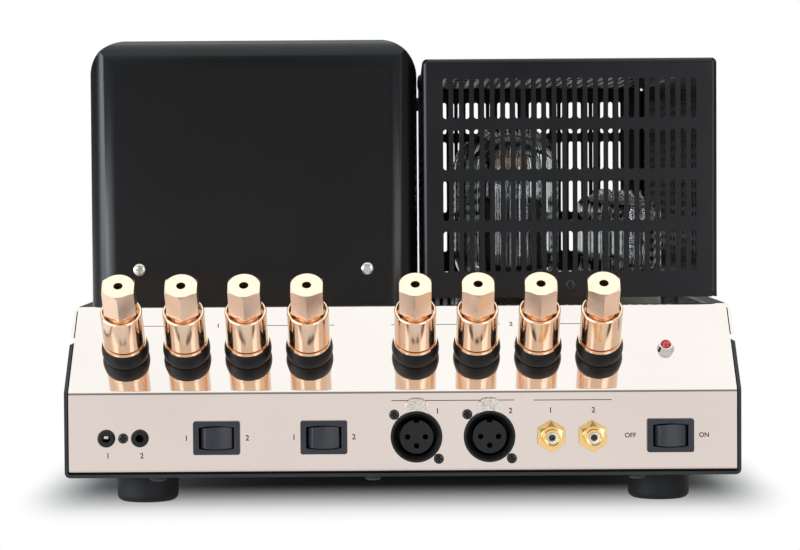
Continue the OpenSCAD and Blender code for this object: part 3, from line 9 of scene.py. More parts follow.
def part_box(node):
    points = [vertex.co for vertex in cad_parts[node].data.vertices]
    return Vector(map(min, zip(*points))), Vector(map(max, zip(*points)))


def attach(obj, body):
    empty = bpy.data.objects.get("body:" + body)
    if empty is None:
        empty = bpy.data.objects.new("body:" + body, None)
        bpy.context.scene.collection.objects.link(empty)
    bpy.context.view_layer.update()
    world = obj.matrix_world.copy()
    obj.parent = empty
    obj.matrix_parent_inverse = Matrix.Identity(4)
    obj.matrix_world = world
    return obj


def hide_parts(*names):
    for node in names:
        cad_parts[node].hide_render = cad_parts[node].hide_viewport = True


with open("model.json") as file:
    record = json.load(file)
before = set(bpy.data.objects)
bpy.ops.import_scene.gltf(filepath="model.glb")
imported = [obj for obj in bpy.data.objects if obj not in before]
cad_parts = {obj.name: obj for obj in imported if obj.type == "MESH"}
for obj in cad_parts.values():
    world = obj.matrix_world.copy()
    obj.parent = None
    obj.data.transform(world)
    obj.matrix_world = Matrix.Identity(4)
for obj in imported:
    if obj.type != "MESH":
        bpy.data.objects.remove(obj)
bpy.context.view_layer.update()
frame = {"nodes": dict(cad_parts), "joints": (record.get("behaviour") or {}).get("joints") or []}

# The chassis is one folded sheet of stainless steel, polished like a mirror: connector panel, slope, top
# plate and far end. Polishing leaves faint lines across the sheet, and the folds leave it slightly wavy.

MM = 0.001


def shade(red, green, blue):
    """A colour as a screen shows it, 0 to 255, in the linear values that a shader takes."""
    shares = [value / 255 for value in (red, green, blue)]
    return (*(s / 12.92 if s <= 0.04045 else ((s + 0.055) / 1.055) ** 2.4 for s in shares), 1)


def unevenness_group():
    """A value from 0 to 1 that wanders over the surface, in patches that can be drawn out along an axis."""
    group = bpy.data.node_groups.new("unevenness", "ShaderNodeTree")
    group.interface.new_socket("Patches", in_out="INPUT", socket_type="NodeSocketFloat")
    group.interface.new_socket("Stretch", in_out="INPUT", socket_type="NodeSocketVector")
    group.interface.new_socket("Value", in_out="OUTPUT", socket_type="NodeSocketFloat")
    nodes, links = group.nodes, group.links
    start, end = nodes.new("NodeGroupInput"), nodes.new("NodeGroupOutput")
    place = nodes.new("ShaderNodeTexCoord")
    drawn = nodes.new("ShaderNodeVectorMath")
    drawn.operation = "MULTIPLY"
    noise = nodes.new("ShaderNodeTexNoise")
    noise.inputs["Detail"].default_value = 3
    spread = nodes.new("ShaderNodeMapRange")
    spread.inputs["From Min"].default_value = 0.3
    spread.inputs["From Max"].default_value = 0.7
    links.new(place.outputs["Object"], drawn.inputs[0])
    links.new(start.outputs["Stretch"], drawn.inputs[1])
    links.new(drawn.outputs["Vector"], noise.inputs["Vector"])
    links.new(start.outputs["Patches"], noise.inputs["Scale"])
    links.new(noise.outputs["Fac"], spread.inputs["Value"])
    links.new(spread.outputs["Result"], end.inputs["Value"])
    return group


UNEVENNESS = unevenness_group()


def uneven(material, patches, stretch=(1, 1, 1)):
    """Places the unevenness group in a material and returns its value."""
    node = material.node_tree.nodes.new("ShaderNodeGroup")
    node.node_tree = UNEVENNESS
    node.inputs["Patches"].default_value = patches
    node.inputs["Stretch"].default_value = stretch
    return node.outputs["Value"]


def between(owner, value, low, high):
    """A number that follows a value from 0 to 1 between two limits, in the nodes of a material or a light."""
    node = owner.node_tree.nodes.new("ShaderNodeMapRange")
    node.inputs["To Min"].default_value = low
    node.inputs["To Max"].default_value = high
    owner.node_tree.links.new(value, node.inputs["Value"])
    return node.outputs["Result"]


def tint(material, value, dark, light):
    """A colour that follows a value from 0 to 1 between two colours."""
    node = material.node_tree.nodes.new("ShaderNodeMix")
    node.data_type = "RGBA"
    node.inputs[6].default_value = dark
    node.inputs[7].default_value = light
    material.node_tree.links.new(value, node.inputs[0])
    return node.outputs[2]


def finish(
    name, dark, light, roughness, measure, grain, stretch=(1, 1, 1), metallic=0, sockets=(), pattern=uneven,
):
    """A material whose colour and gloss follow a pattern, with a fine grain that stands in relief. measure
    is what the pattern takes, the number of slow patches in a metre unless another pattern is given. grain
    is the number of grains in a metre and their depth in metres."""
    material = bpy.data.materials.new(name)
    material.use_nodes = True
    nodes, links = material.node_tree.nodes, material.node_tree.links
    shader = nodes["Principled BSDF"]
    shader.inputs["Metallic"].default_value = metallic
    for socket, value in sockets:
        shader.inputs[socket].default_value = value
    drift = pattern(material, measure)
    links.new(tint(material, drift, dark, light), shader.inputs["Base Color"])
    links.new(between(material, drift, *roughness), shader.inputs["Roughness"])
    relief = nodes.new("ShaderNodeBump")
    relief.inputs["Distance"].default_value = grain[1]
    links.new(uneven(material, grain[0], stretch), relief.inputs["Height"])
    links.new(relief.outputs["Normal"], shader.inputs["Normal"])
    return material


CREASE = 30


def dress(material, *names, crease=CREASE, edge=0):
    """Gives CAD nodes a material, smooth folds below the crease angle and, if asked, a fine edge radius."""
    for name in names:
        node = frame["nodes"][name]
        for slot in node.material_slots:
            slot.material = material
        weld = node.modifiers.new("weld", "WELD")
        weld.merge_threshold = 0.002 * MM
        if edge:
            bevel = node.modifiers.new("edge", "BEVEL")
            bevel.width = edge
            bevel.segments = 2
            bevel.angle_limit = math.radians(crease)
            bevel.use_clamp_overlap = False
        split = node.modifiers.new("crease", "EDGE_SPLIT")
        split.split_angle = math.radians(crease)
        split.use_edge_sharp = False
        node.modifiers.new("normals", "WEIGHTED_NORMAL")


polished_steel = finish(
    "polished_steel", shade(219, 207, 200), shade(224, 212, 205), (0.035, 0.07), 14, (240, 0.004 * MM),
    stretch=(0.05, 1, 1), metallic=1,
)
dress(polished_steel, "chassis_shell")

# A black enamelled tray closes the chassis from below. Its screws and the four rubber feet, moulded with a
# sunk hole for their screws, hold it from underneath. A black screw has painted shade in its cross recess:
# its colour darkens, and its gloss dulls, where ambient occlusion finds the recess.


def painted_recess_shade(material, reach):
    """Painted shade: 1 on open faces, falling to 0 in recesses narrower than the reach, by occlusion."""
    nodes, links = material.node_tree.nodes, material.node_tree.links
    shelter = nodes.new("ShaderNodeAmbientOcclusion")
    shelter.only_local = True
    shelter.inputs["Distance"].default_value = reach
    spread = nodes.new("ShaderNodeMapRange")
    spread.inputs["From Min"].default_value = 0.6
    spread.inputs["From Max"].default_value = 0.95
    links.new(shelter.outputs["AO"], spread.inputs["Value"])
    return spread.outputs["Result"]


tray_black = finish(
    "tray_enamel", shade(24, 24, 25), shade(32, 32, 33), (0.32, 0.42), 30, (1800, 0.004 * MM),
    sockets=[("Specular IOR Level", 0.4)],
)
foot_rubber = finish(
    "foot_rubber", shade(22, 22, 24), shade(30, 30, 32), (0.55, 0.68), 60, (2600, 0.02 * MM),
    sockets=[("Specular IOR Level", 0.3)],
)
# The near-black colour in the cross recess of a black screw is painted shade, from ambient occlusion.
black_screw = finish(
    "black_screw", shade(1, 1, 1), shade(42, 42, 43), (1, 0.3), 0.7 * MM, (3000, 0.006 * MM),
    sockets=[("Specular IOR Level", 0.3)], pattern=painted_recess_shade,
)
dress(tray_black, "bottom_tray")
dress(foot_rubber, "rubber_feet")
dress(black_screw, "underside_screws")

# Three drawn steel covers stand over the transformers, in satin black enamel. Each is held by two bright
# screws with a cross recess.

cover_black = finish(
    "cover_enamel", shade(8, 8, 9), shade(10, 10, 12), (0.24, 0.29), 9, (1400, 0.004 * MM),
    sockets=[("Specular IOR Level", 0.3)],
)
bright_screw = finish(
    "nickel_screw", shade(196, 193, 187), shade(222, 219, 213), (0.22, 0.34), 400, (2600, 0.01 * MM),
    metallic=1,
)
dress(cover_black, "front_output_cover", "power_transformer_cover", "rear_output_cover")
dress(bright_screw, "cover_screws")

# Inside each cover a laminated core with its copper winding stands on a zinc-plated frame, and below the top
# plate lie the circuit boards, on spacers, with the filter capacitors in their shrunk sleeves.

zinc = finish(
    "zinc_plate", shade(168, 170, 172), shade(196, 196, 192), (0.3, 0.5), 90, (900, 0.01 * MM), metallic=1,
)
core_steel = finish(
    "core_laminations", shade(70, 68, 68), shade(96, 94, 94), (0.45, 0.6), 30, (700, 0.3 * MM),
    stretch=(0.01, 1, 0.01), metallic=1,
)
copper_winding = finish(
    "copper_winding", shade(150, 84, 42), shade(196, 120, 62), (0.3, 0.45), 40, (600, 0.3 * MM),
    stretch=(0.02, 0.02, 1), metallic=1,
)
board_green = finish(
    "board_lacquer", shade(20, 78, 44), shade(32, 104, 60), (0.3, 0.45), 260, (900, 0.05 * MM),
    stretch=(1, 0.05, 1),
)
capacitor_blue = finish(
    "capacitor_sleeve", shade(28, 40, 82), shade(40, 56, 104), (0.3, 0.4), 80, (900, 0.02 * MM),
)
dress(zinc, "transformer_frames", "board_spacers")
dress(core_steel, "transformer_cores")
dress(copper_winding, "transformer_windings")
dress(board_green, "circuit_boards")
dress(capacitor_blue, "filter_capacitors")

# The tubes stand in glazed ceramic sockets. A power tube has a brown-black moulded base with a key, and the
# small ones stand on their own glass, over a green lamp in the middle of the socket.

ceramic = finish(
    "glazed_ceramic", shade(206, 200, 188), shade(224, 219, 208), (0.22, 0.3), 120, (900, 0.01 * MM),
)
moulded_base = finish(
    "moulded_base", shade(30, 25, 23), shade(44, 36, 32), (0.28, 0.36), 120, (1500, 0.006 * MM),
)
lamp_green = finish(
    "green_lamp", shade(60, 190, 80), shade(90, 225, 110), (0.3, 0.4), 200, (900, 0.004 * MM),
    sockets=[("Emission Color", shade(0, 255, 40)), ("Emission Strength", 20)],
)
dress(ceramic, "tube_sockets")
dress(moulded_base, "power_tube_bases")
dress(lamp_green, "socket_lights")

base_low, base_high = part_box("power_tube_bases")
lamps_low, lamps_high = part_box("socket_lights")
power_base_r = 20 * MM
power_base_h = 26 * MM
lamp_r = 1.5 * MM
power_seat = base_high.z - power_base_h
small_seat = lamps_high.z + 0.3 * MM
power_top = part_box("tube_bulbs")[1].z - power_seat


def row_of(count, low, high, inset, seat):
    """Places along a row of tubes, from the box that its pieces fill."""
    first, last = low.y + inset, high.y - inset
    middle = (low.x + high.x) / 2
    return [Vector((middle, first + (last - first) * k / (count - 1), seat)) for k in range(count)]


power_places = row_of(4, base_low, base_high, power_base_r, power_seat)
small_places = row_of(7, lamps_low, lamps_high, lamp_r, small_seat)

# The bulbs are blown glass, drawn in at the neck of a power tube and to a tip on a small one. A silvery brown
# film, left by the getter, lines the dome of each.


def turned(outline):
    """A form turned about Z from corners given as radius, height and rounding."""
    form = bmesh.new()
    corners = [form.verts.new((radius, 0, height)) for radius, height, _ in outline]
    for low, high in zip(corners, corners[1:]):
        form.edges.new((low, high))
    for corner, (_, _, rounding) in zip(corners, outline):
        if rounding:
            bmesh.ops.bevel(
                form, geom=[corner], offset=rounding, offset_type="OFFSET", affect="VERTICES", segments=8,
                profile=0.5, material=-1,
            )
    bmesh.ops.spin(
        form, geom=form.verts[:] + form.edges[:], cent=(0, 0, 0), axis=(0, 0, 1), angle=2 * math.pi,
        steps=64, use_merge=True,
    )
    bmesh.ops.remove_doubles(form, verts=form.verts[:], dist=0.001 * MM)
    bmesh.ops.recalc_face_normals(form, faces=form.faces[:])
    return form


def stood_at(form, places):
    """Repeats a form at each of the places."""
    corners = form.verts[:]
    original = corners + form.edges[:] + form.faces[:]
    for place in places[1:]:
        copy = bmesh.ops.duplicate(form, geom=original)["geom"]
        bmesh.ops.translate(form, verts=[v for v in copy if isinstance(v, bmesh.types.BMVert)], vec=place)
    bmesh.ops.translate(form, verts=corners, vec=places[0])
    return form


def piece(name, form, material, replaced=()):
    """Makes a piece of the object from a form, fixed to the chassis."""
    mesh = bpy.data.meshes.new(name)
    form.to_mesh(mesh)
    form.free()
    mesh.polygons.foreach_set("use_smooth", [True] * len(mesh.polygons))
    mesh.set_sharp_from_angle(angle=math.radians(CREASE))
    mesh.materials.append(material)
    made = bpy.data.objects.new(name, mesh)
    bpy.context.scene.collection.objects.link(made)
    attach(made, "chassis")
    if replaced:
        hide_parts(*replaced)
    return made


glass = finish(
    "blown_glass", shade(246, 250, 250), shade(252, 254, 254), (0.0, 0.01), 60, (40, 0.004 * MM),
    sockets=[("Transmission Weight", 1), ("IOR", 1.46)],
)
glass_t = 1.1 * MM
power_r = 23.25 * MM
power_neck_r = 18 * MM
small_r = 10.9 * MM
small_top = 49.3 * MM
small_shoulder = small_top - 6.6 * MM
small_tip = small_top - 3.6 * MM
power_bulb = turned(
    [
        (power_neck_r, 3 * MM, 0), (power_neck_r, power_base_h, 4 * MM),
        (power_r, power_base_h + 10 * MM, 5 * MM), (power_r, power_top, 22 * MM), (0, power_top, 0),
    ]
)
small_bulb = turned(
    [
        (0, 0, 0), (small_r, 0, 1.5 * MM), (small_r, small_shoulder, 3 * MM),
        (2.2 * MM, small_tip, 1.2 * MM), (1.6 * MM, small_top, 1.4 * MM), (0, small_top, 0),
    ]
)
power_glass = piece(
    "power_tube_glass", stood_at(power_bulb, power_places), glass, replaced=["tube_bulbs"],
)
small_glass = piece("small_tube_glass", stood_at(small_bulb, small_places), glass)
for bulb in (power_glass, small_glass):
    wall = bulb.modifiers.new("wall", "SOLIDIFY")
    wall.thickness = glass_t
    wall.offset = -1


def getter_film(name, low, high):
    """A silvery film that turns brown and clears towards its lower edge, between two heights."""
    brown, silver = shade(52, 34, 22), shade(104, 98, 92)
    film = finish(name, brown, silver, (0.12, 0.2), 40, (60, 0.004 * MM), metallic=1)
    nodes, links = film.node_tree.nodes, film.node_tree.links
    shader = nodes["Principled BSDF"]
    place = nodes.new("ShaderNodeTexCoord")
    axes = nodes.new("ShaderNodeSeparateXYZ")
    height = nodes.new("ShaderNodeMapRange")
    height.inputs["From Min"].default_value = low
    height.inputs["From Max"].default_value = high
    links.new(place.outputs["Object"], axes.inputs["Vector"])
    links.new(axes.outputs["Z"], height.inputs["Value"])
    links.new(tint(film, height.outputs["Result"], brown, silver), shader.inputs["Base Color"])
    links.new(height.outputs["Result"], shader.inputs["Alpha"])
    return film


film_gap = glass_t + 0.15 * MM
film_r = power_r - film_gap
film_low = 94 * MM
film_top = power_top - film_gap
power_film = turned([(film_r, film_low, 0), (film_r, film_top, 20 * MM), (0, film_top, 0)])
piece(
    "power_tube_getter_film", stood_at(power_film, power_places),
    getter_film("power_getter_film", power_seat + 95 * MM, power_seat + 104 * MM),
)
small_film_r = small_r - film_gap
small_film_low = 37 * MM
small_film_top = small_tip - film_gap
small_film = turned(
    [(small_film_r, small_film_low, 0), (small_film_r, small_film_top, 3 * MM), (0, small_film_top, 0)]
)
piece(
    "small_tube_getter_film", stood_at(small_film, small_places),
    getter_film("small_getter_film", small_seat + small_film_low, small_seat + 41 * MM),
)

# Inside the glass, ribbed anode plates of blackened metal stand between mica discs. Bright rods run through
# them, and in a power tube copper fins cool the rods at the top.


def block(form, low, high, rounding=0, segments=2):
    """Adds a box between two corners, with its edges rounded."""
    corners = bmesh.ops.create_cube(form, size=1)["verts"]
    low, high = Vector(low), Vector(high)
    bmesh.ops.scale(form, verts=corners, vec=high - low)
    bmesh.ops.translate(form, verts=corners, vec=(low + high) / 2)
    if rounding:
        edges = list({edge for corner in corners for edge in corner.link_edges})
        bmesh.ops.bevel(
            form, geom=edges, offset=rounding, affect="EDGES", segments=segments, profile=0.5, material=-1,
        )
    return form


def rod(form, radius, low, high, sides=12):
    """Adds a round rod between two points on one upright line."""
    low, high = Vector(low), Vector(high)
    bmesh.ops.create_cone(
        form, cap_ends=True, segments=sides, radius1=radius, radius2=radius, depth=(high - low).length,
        matrix=Matrix.Translation((low + high) / 2),
    )


anode_black = finish(
    "anode_black", shade(20, 20, 22), shade(38, 38, 41), (0.34, 0.48), 160, (1500, 0.02 * MM), metallic=0.4,
)
mica = finish(
    "mica", shade(112, 108, 103), shade(160, 155, 147), (0.2, 0.4), 300, (900, 0.02 * MM),
    sockets=[("Transmission Weight", 0.4)],
)
bright_wire = finish(
    "bright_wire", shade(150, 150, 152), shade(196, 196, 198), (0.18, 0.3), 300, (2000, 0.004 * MM),
    metallic=1,
)
copper_fin = finish(
    "copper_fin", shade(146, 112, 94), shade(190, 158, 138), (0.2, 0.32), 200, (1500, 0.006 * MM),
    metallic=1,
)

power_plate_low = 32 * MM
power_plate_high = 74 * MM
power_rib_low = power_plate_low + 3 * MM
power_rib_high = power_plate_high - 3 * MM
rib_rounding = 0.3 * MM
plates = bmesh.new()
for side in (-1, 1):
    block(
        plates, (side * 2 * MM, -7.2 * MM, power_plate_low), (side * 13.5 * MM, 7.2 * MM, power_plate_high),
        1.6 * MM, 3,
    )
    for rib in (-4.4 * MM, 0, 4.4 * MM):
        block(
            plates, (side * 13.2 * MM, rib - 0.5 * MM, power_rib_low),
            (side * 14.3 * MM, rib + 0.5 * MM, power_rib_high), rib_rounding,
        )
    for front in (-1, 1):
        for rib in (4.6 * MM, 8.6 * MM):
            block(
                plates, (side * rib - 0.6 * MM, front * 7.0 * MM, power_rib_low),
                (side * rib + 0.6 * MM, front * 8.1 * MM, power_rib_high), rib_rounding,
            )
    block(
        plates, (side * 14 * MM, -0.25 * MM, power_plate_low),
        (side * 15.3 * MM, 0.25 * MM, power_plate_high),
    )
piece(
    "power_tube_plates", stood_at(plates, power_places), anode_black, replaced=["tube_anodes"],
)

mica_t = 0.6 * MM
discs = bmesh.new()
for height, radius in ((31 * MM, 15.5 * MM), (74.2 * MM, 15.5 * MM), (83 * MM, 13 * MM)):
    rod(discs, radius, (0, 0, height), (0, 0, height + mica_t), sides=48)
piece("power_tube_micas", stood_at(discs, power_places), mica)

rods_low = 4 * MM
grid_rod_high = 100 * MM
plate_rod_high = 84 * MM
wires = bmesh.new()
for x, y in ((-5, 0), (5, 0), (0, -5.2), (0, 5.2)):
    rod(wires, 0.6 * MM, (x * MM, y * MM, rods_low), (x * MM, y * MM, grid_rod_high))
for x in (-11.5, 11.5):
    rod(wires, 0.9 * MM, (x * MM, 0, rods_low), (x * MM, 0, plate_rod_high))
piece("power_tube_rods", stood_at(wires, power_places), bright_wire)

fin_low = 86 * MM
fin_high = 95 * MM
fin_rounding = 0.15 * MM
fins = bmesh.new()
for y in (-5.2, 5.2):
    block(fins, (-8 * MM, (y - 0.2) * MM, fin_low), (8 * MM, (y + 0.2) * MM, fin_high), fin_rounding)
    for x in (-8, -2.7, 2.7, 8):
        block(
            fins, ((x - 0.2) * MM, (y - 3) * MM, fin_low), ((x + 0.2) * MM, (y + 3) * MM, fin_high),
            fin_rounding,
        )
piece("power_tube_fins", stood_at(fins, power_places), copper_fin)

small_plate_low = 12 * MM
small_plate_high = 30 * MM
small_rib_low = small_plate_low + 1.5 * MM
small_rib_high = small_plate_high - 1.5 * MM
small_plates = bmesh.new()
for side in (-1, 1):
    block(
        small_plates, (side * 0.8 * MM, -3.8 * MM, small_plate_low),
        (side * 7.2 * MM, 3.8 * MM, small_plate_high), 1.2 * MM, 3,
    )
    for front in (-1, 1):
        block(
            small_plates, (side * 4 * MM - 0.5 * MM, front * 3.6 * MM, small_rib_low),
            (side * 4 * MM + 0.5 * MM, front * 4.5 * MM, small_rib_high), rib_rounding,
        )
piece("small_tube_plates", stood_at(small_plates, small_places), anode_black)

small_mica_t = 0.5 * MM
small_discs = bmesh.new()
for height in (11.2 * MM, 30.2 * MM):
    rod(small_discs, 8.7 * MM, (0, 0, height), (0, 0, height + small_mica_t), sides=40)
piece("small_tube_micas", stood_at(small_discs, small_places), mica)

small_rods_low = 2.5 * MM
small_rods_high = 33 * MM
small_wires = bmesh.new()
for x, y in ((-4, 0), (4, 0), (-6.4, 3), (6.4, -3), (0, 4.2), (0, -4.2)):
    rod(small_wires, 0.4 * MM, (x * MM, y * MM, small_rods_low), (x * MM, y * MM, small_rods_high))
piece("small_tube_rods", stood_at(small_wires, small_places), bright_wire)

# A cage of slotted black sheets stands over the tubes on rubber pads. Its end walls are screwed to brackets
# on the top plate, and rubber bumpers keep it off the covers.

cage_black = finish(
    "cage_powder_coat", shade(12, 12, 15), shade(16, 16, 19), (0.27, 0.33), 16, (2600, 0.006 * MM),
    sockets=[("Specular IOR Level", 0.3)],
)
dress(
    cage_black, "cage_front_panel", "cage_rear_panel", "cage_left_panel", "cage_right_panel",
    "cage_top_panel", "cage_brackets",
)
dress(foot_rubber, "cage_pads")
dress(black_screw, "black_screws")

# A binding post is a gold-plated stud in a black moulded insulator. A round sleeve clamps the wire, and the
# hexagonal knob that drives it has a hole for a plug. The chamfer at the knob's end is shallow, so a smaller
# crease angle keeps its edges sharp.

insulator_black = finish(
    "moulded_insulator", shade(15, 15, 16), shade(22, 22, 23), (0.34, 0.46), 120, (2400, 0.01 * MM),
    sockets=[("Specular IOR Level", 0.2)],
)
gold = finish(
    "gold_plate", shade(241, 208, 179), shade(246, 215, 187), (0.1, 0.16), 90, (1600, 0.002 * MM),
    metallic=1,
)
satin_gold = finish(
    "satin_gold_plate", shade(248, 214, 188), shade(252, 222, 198), (0.18, 0.24), 90, (2600, 0.003 * MM),
    metallic=1,
)
dress(insulator_black, "post_insulators")
dress(gold, "post_studs", *(f"post_sleeve_{k}" for k in range(1, 9)))
dress(satin_gold, *(f"post_knob_{k}" for k in range(1, 9)), crease=20)

# The connector row: round black input sockets with a frosted release tab, gold jacks with a white insulator,
# and two small black control jacks, one with its contact spring in sight. The blades of the mains inlet, at
# the far end, are plated with nickel.

socket_black = finish(
    "socket_black", shade(10, 10, 11), shade(16, 16, 17), (0.3, 0.4), 140, (2200, 0.008 * MM),
    sockets=[("Specular IOR Level", 0.32)],
)
insert_black = finish(
    "insert_black", shade(18, 18, 19), shade(25, 25, 26), (0.5, 0.62), 140, (2600, 0.012 * MM),
    sockets=[("Specular IOR Level", 0.25)],
)
frosted_nickel = finish(
    "frosted_nickel", shade(208, 197, 187), shade(236, 227, 218), (0.25, 0.4), 700, (1400, 0.05 * MM),
    metallic=1,
)
jack_gold = finish(
    "jack_gold", shade(240, 200, 130), shade(248, 212, 150), (0.14, 0.22), 160, (1600, 0.003 * MM),
    metallic=1,
)
jack_white = finish(
    "jack_white", shade(226, 222, 210), shade(238, 235, 226), (0.35, 0.45), 200, (1800, 0.006 * MM),
)
dress(socket_black, "xlr_shells", "control_jacks", "mains_inlet")
dress(insert_black, "xlr_inserts")
dress(frosted_nickel, "left_release_tab", "right_release_tab", edge=0.15 * MM)
dress(jack_gold, "rca_jacks", edge=0.35 * MM)
dress(jack_white, "rca_insulators")

jack_low, jack_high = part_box("control_jacks")
jack_d = jack_high.z - jack_low.z
first_jack = Vector((jack_low.x + jack_d / 2, jack_low.y, (jack_low.z + jack_high.z) / 2))
spring_low = first_jack + Vector((-1.3, 1.2, -0.2)) * MM
spring_high = first_jack + Vector((0.9, 6, 1.3)) * MM
spring = block(bmesh.new(), spring_low, spring_high, 0.2 * MM)
piece("control_jack_spring", spring, bright_screw)

inlet_low, inlet_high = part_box("mains_inlet")
inlet_mouth = Vector(((inlet_low.x + inlet_high.x) / 2, inlet_high.y, (inlet_low.z + inlet_high.z) / 2))
plating_t = 0.04 * MM
blade_half_w = 1 * MM + plating_t
blade_half_h = 2 * MM + plating_t
blade_tip = 5 * MM - plating_t
blade_root = 18.2 * MM
blades = bmesh.new()
for x, z in ((-7, -2), (0, 2), (7, -2)):
    middle = inlet_mouth + Vector((x, 0, z)) * MM
    block(
        blades, middle - Vector((blade_half_w, blade_root, blade_half_h)),
        middle + Vector((blade_half_w, -blade_tip, blade_half_h)), plating_t / 2,
    )
piece("inlet_blades", blades, bright_screw)

# Three rocker switches are moulded in blue-black plastic with a fine matt grain. Their bezels snap into the
# panel, and each rocker tilts about an upright pivot.

switch_plastic = finish(
    "switch_plastic", shade(34, 35, 41), shade(42, 43, 50), (0.24, 0.32), 150, (2600, 0.006 * MM),
    sockets=[("Specular IOR Level", 0.45)],
)
dress(switch_plastic, "switch_housings", "mode_rocker", "input_rocker", "power_rocker", edge=0.15 * MM)

# The pilot lamp is a lens of red plastic in a chromed bezel, which is pressed into a hole in the slope beside
# the binding posts.

chrome = finish(
    "chrome", shade(206, 206, 208), shade(222, 222, 224), (0.06, 0.12), 200, (900, 0.002 * MM), metallic=1,
)
lens_red = finish(
    "red_lens", shade(176, 10, 18), shade(206, 22, 30), (0.1, 0.18), 300, (1200, 0.01 * MM),
    sockets=[("Coat Weight", 0.6)],
)
dress(chrome, "lamp_bezel")
dress(lens_red, "lamp_lens")

# Legends are silk-screened in dark ink: a number at each connector, ON and OFF at the mains switch, and ruled
# lines over the groups of connectors. Their places are in millimetres, across and above the floor on the
# panel, and above the fold on the slope.

ink = finish(
    "legend_ink", shade(26, 23, 22), shade(36, 32, 30), (0.5, 0.6), 300, (2400, 0.002 * MM),
    sockets=[("Specular IOR Level", 0.2)],
)
shell_low, shell_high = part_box("chassis_shell")
front_y = shell_low.y
ink_t = 0.02 * MM
rule_w = 0.34 * MM
bold = 0.06 * MM
number_h = 2.4 * MM
word_h = 2.05 * MM
cap_share = 0.7
panel_h = 37 * MM
sleeve_slide = next(joint for joint in frame["joints"] if joint["name"] == "sleeve_1_slide")
slope_out = Vector(sleeve_slide["axis"])
slope_tilt = math.atan2(-slope_out.y, slope_out.z)
upright = Matrix.Rotation(math.radians(90), 4, "X")
on_panel = Matrix.Translation((0, front_y, 0)) @ upright
on_slope = Matrix.Translation((0, front_y, shell_low.z + panel_h)) @ Matrix.Rotation(slope_tilt, 4, "X")


def word(form, text, x, up, plane):
    """Prints a word on a plane, centred at a place across and up."""
    curve = bpy.data.curves.new("word", "FONT")
    curve.body = text
    curve.align_x = "CENTER"
    curve.align_y = "CENTER"
    curve.size = (number_h if text.isdigit() else word_h) / cap_share
    curve.offset = bold
    curve.extrude = ink_t
    held = bpy.data.objects.new("word", curve)
    bpy.context.scene.collection.objects.link(held)
    bpy.context.view_layer.update()
    mesh = bpy.data.meshes.new_from_object(held.evaluated_get(bpy.context.evaluated_depsgraph_get()))
    mesh.transform(plane @ Matrix.Translation((x, up, 0)))
    form.from_mesh(mesh)
    bpy.data.objects.remove(held)
    bpy.data.curves.remove(curve)
    bpy.data.meshes.remove(mesh)


def rule(form, start, end, up, plane):
    """Prints a ruled line on a plane."""
    corners = bmesh.ops.create_cube(form, size=1)["verts"]
    bmesh.ops.scale(form, verts=corners, vec=(end - start, rule_w, 2 * ink_t))
    bmesh.ops.translate(form, verts=corners, vec=((start + end) / 2, up, 0))
    bmesh.ops.transform(form, verts=corners, matrix=plane)


PANEL_WORDS = [
    ("1", -132.9, 24.1), ("2", -117.6, 24.0), ("1", -97.5, 31.8), ("2", -70, 31.8), ("1", -49, 32),
    ("2", -22, 32), ("1", 15.7, 43.4), ("2", 48.6, 43.4), ("1", 66.6, 43.5), ("2", 85.9, 43.5),
    ("OFF", 102.5, 32), ("ON", 135.7, 32),
]
PANEL_RULES = [(-5, 50.3, 48.3), (59, 94.1, 48.2)]
SLOPE_WORDS = [("1", -84.9, 41.3), ("2", 50.2, 41.3)]
SLOPE_RULES = [(-136.9, -93.2, 41.3), (-76.6, -31.4, 41.3), (-5.1, 45.1, 41.3), (55.3, 86.6, 41.3)]
legends = bmesh.new()
for text, x, up in PANEL_WORDS:
    word(legends, text, x * MM, up * MM, on_panel)
for text, x, up in SLOPE_WORDS:
    word(legends, text, x * MM, up * MM, on_slope)
for start, end, up in PANEL_RULES:
    rule(legends, start * MM, end * MM, up * MM, on_panel)
for start, end, up in SLOPE_RULES:
    rule(legends, start * MM, end * MM, up * MM, on_slope)
piece("printed_legends", legends, ink)

# The studio: a white floor with a painted shadow near the object, grey paper that fades to white away from
# its footprint and takes the traced shadow too, a wide soft light overhead with three low boxes, a dim flag
# behind the camera and a white surround. A mirror that is seen in another shows more white and less of the
# lights.


def larger(tree, first, second):
    """The larger of two values."""
    node = tree.nodes.new("ShaderNodeMath")
    node.operation = "MAXIMUM"
    tree.links.new(first, node.inputs[0])
    tree.links.new(second, node.inputs[1])
    return node.outputs["Value"]


def seen_directly(tree):
    """1 on what the camera sees directly or through glass."""
    path = tree.nodes.new("ShaderNodeLightPath")
    return larger(tree, path.outputs["Is Camera Ray"], path.outputs["Is Transmission Ray"])


def seen_or_mirrored(tree):
    """1 on what the camera sees directly, through glass or in a mirror."""
    path = tree.nodes.new("ShaderNodeLightPath")
    return larger(tree, seen_directly(tree), path.outputs["Is Glossy Ray"])


def mirrored_twice(tree):
    """1 on what one mirror shows in another."""
    path = tree.nodes.new("ShaderNodeLightPath")
    twice = tree.nodes.new("ShaderNodeMath")
    twice.operation = "GREATER_THAN"
    twice.inputs[1].default_value = 1.5
    tree.links.new(path.outputs["Glossy Depth"], twice.inputs[0])
    return twice.outputs["Value"]


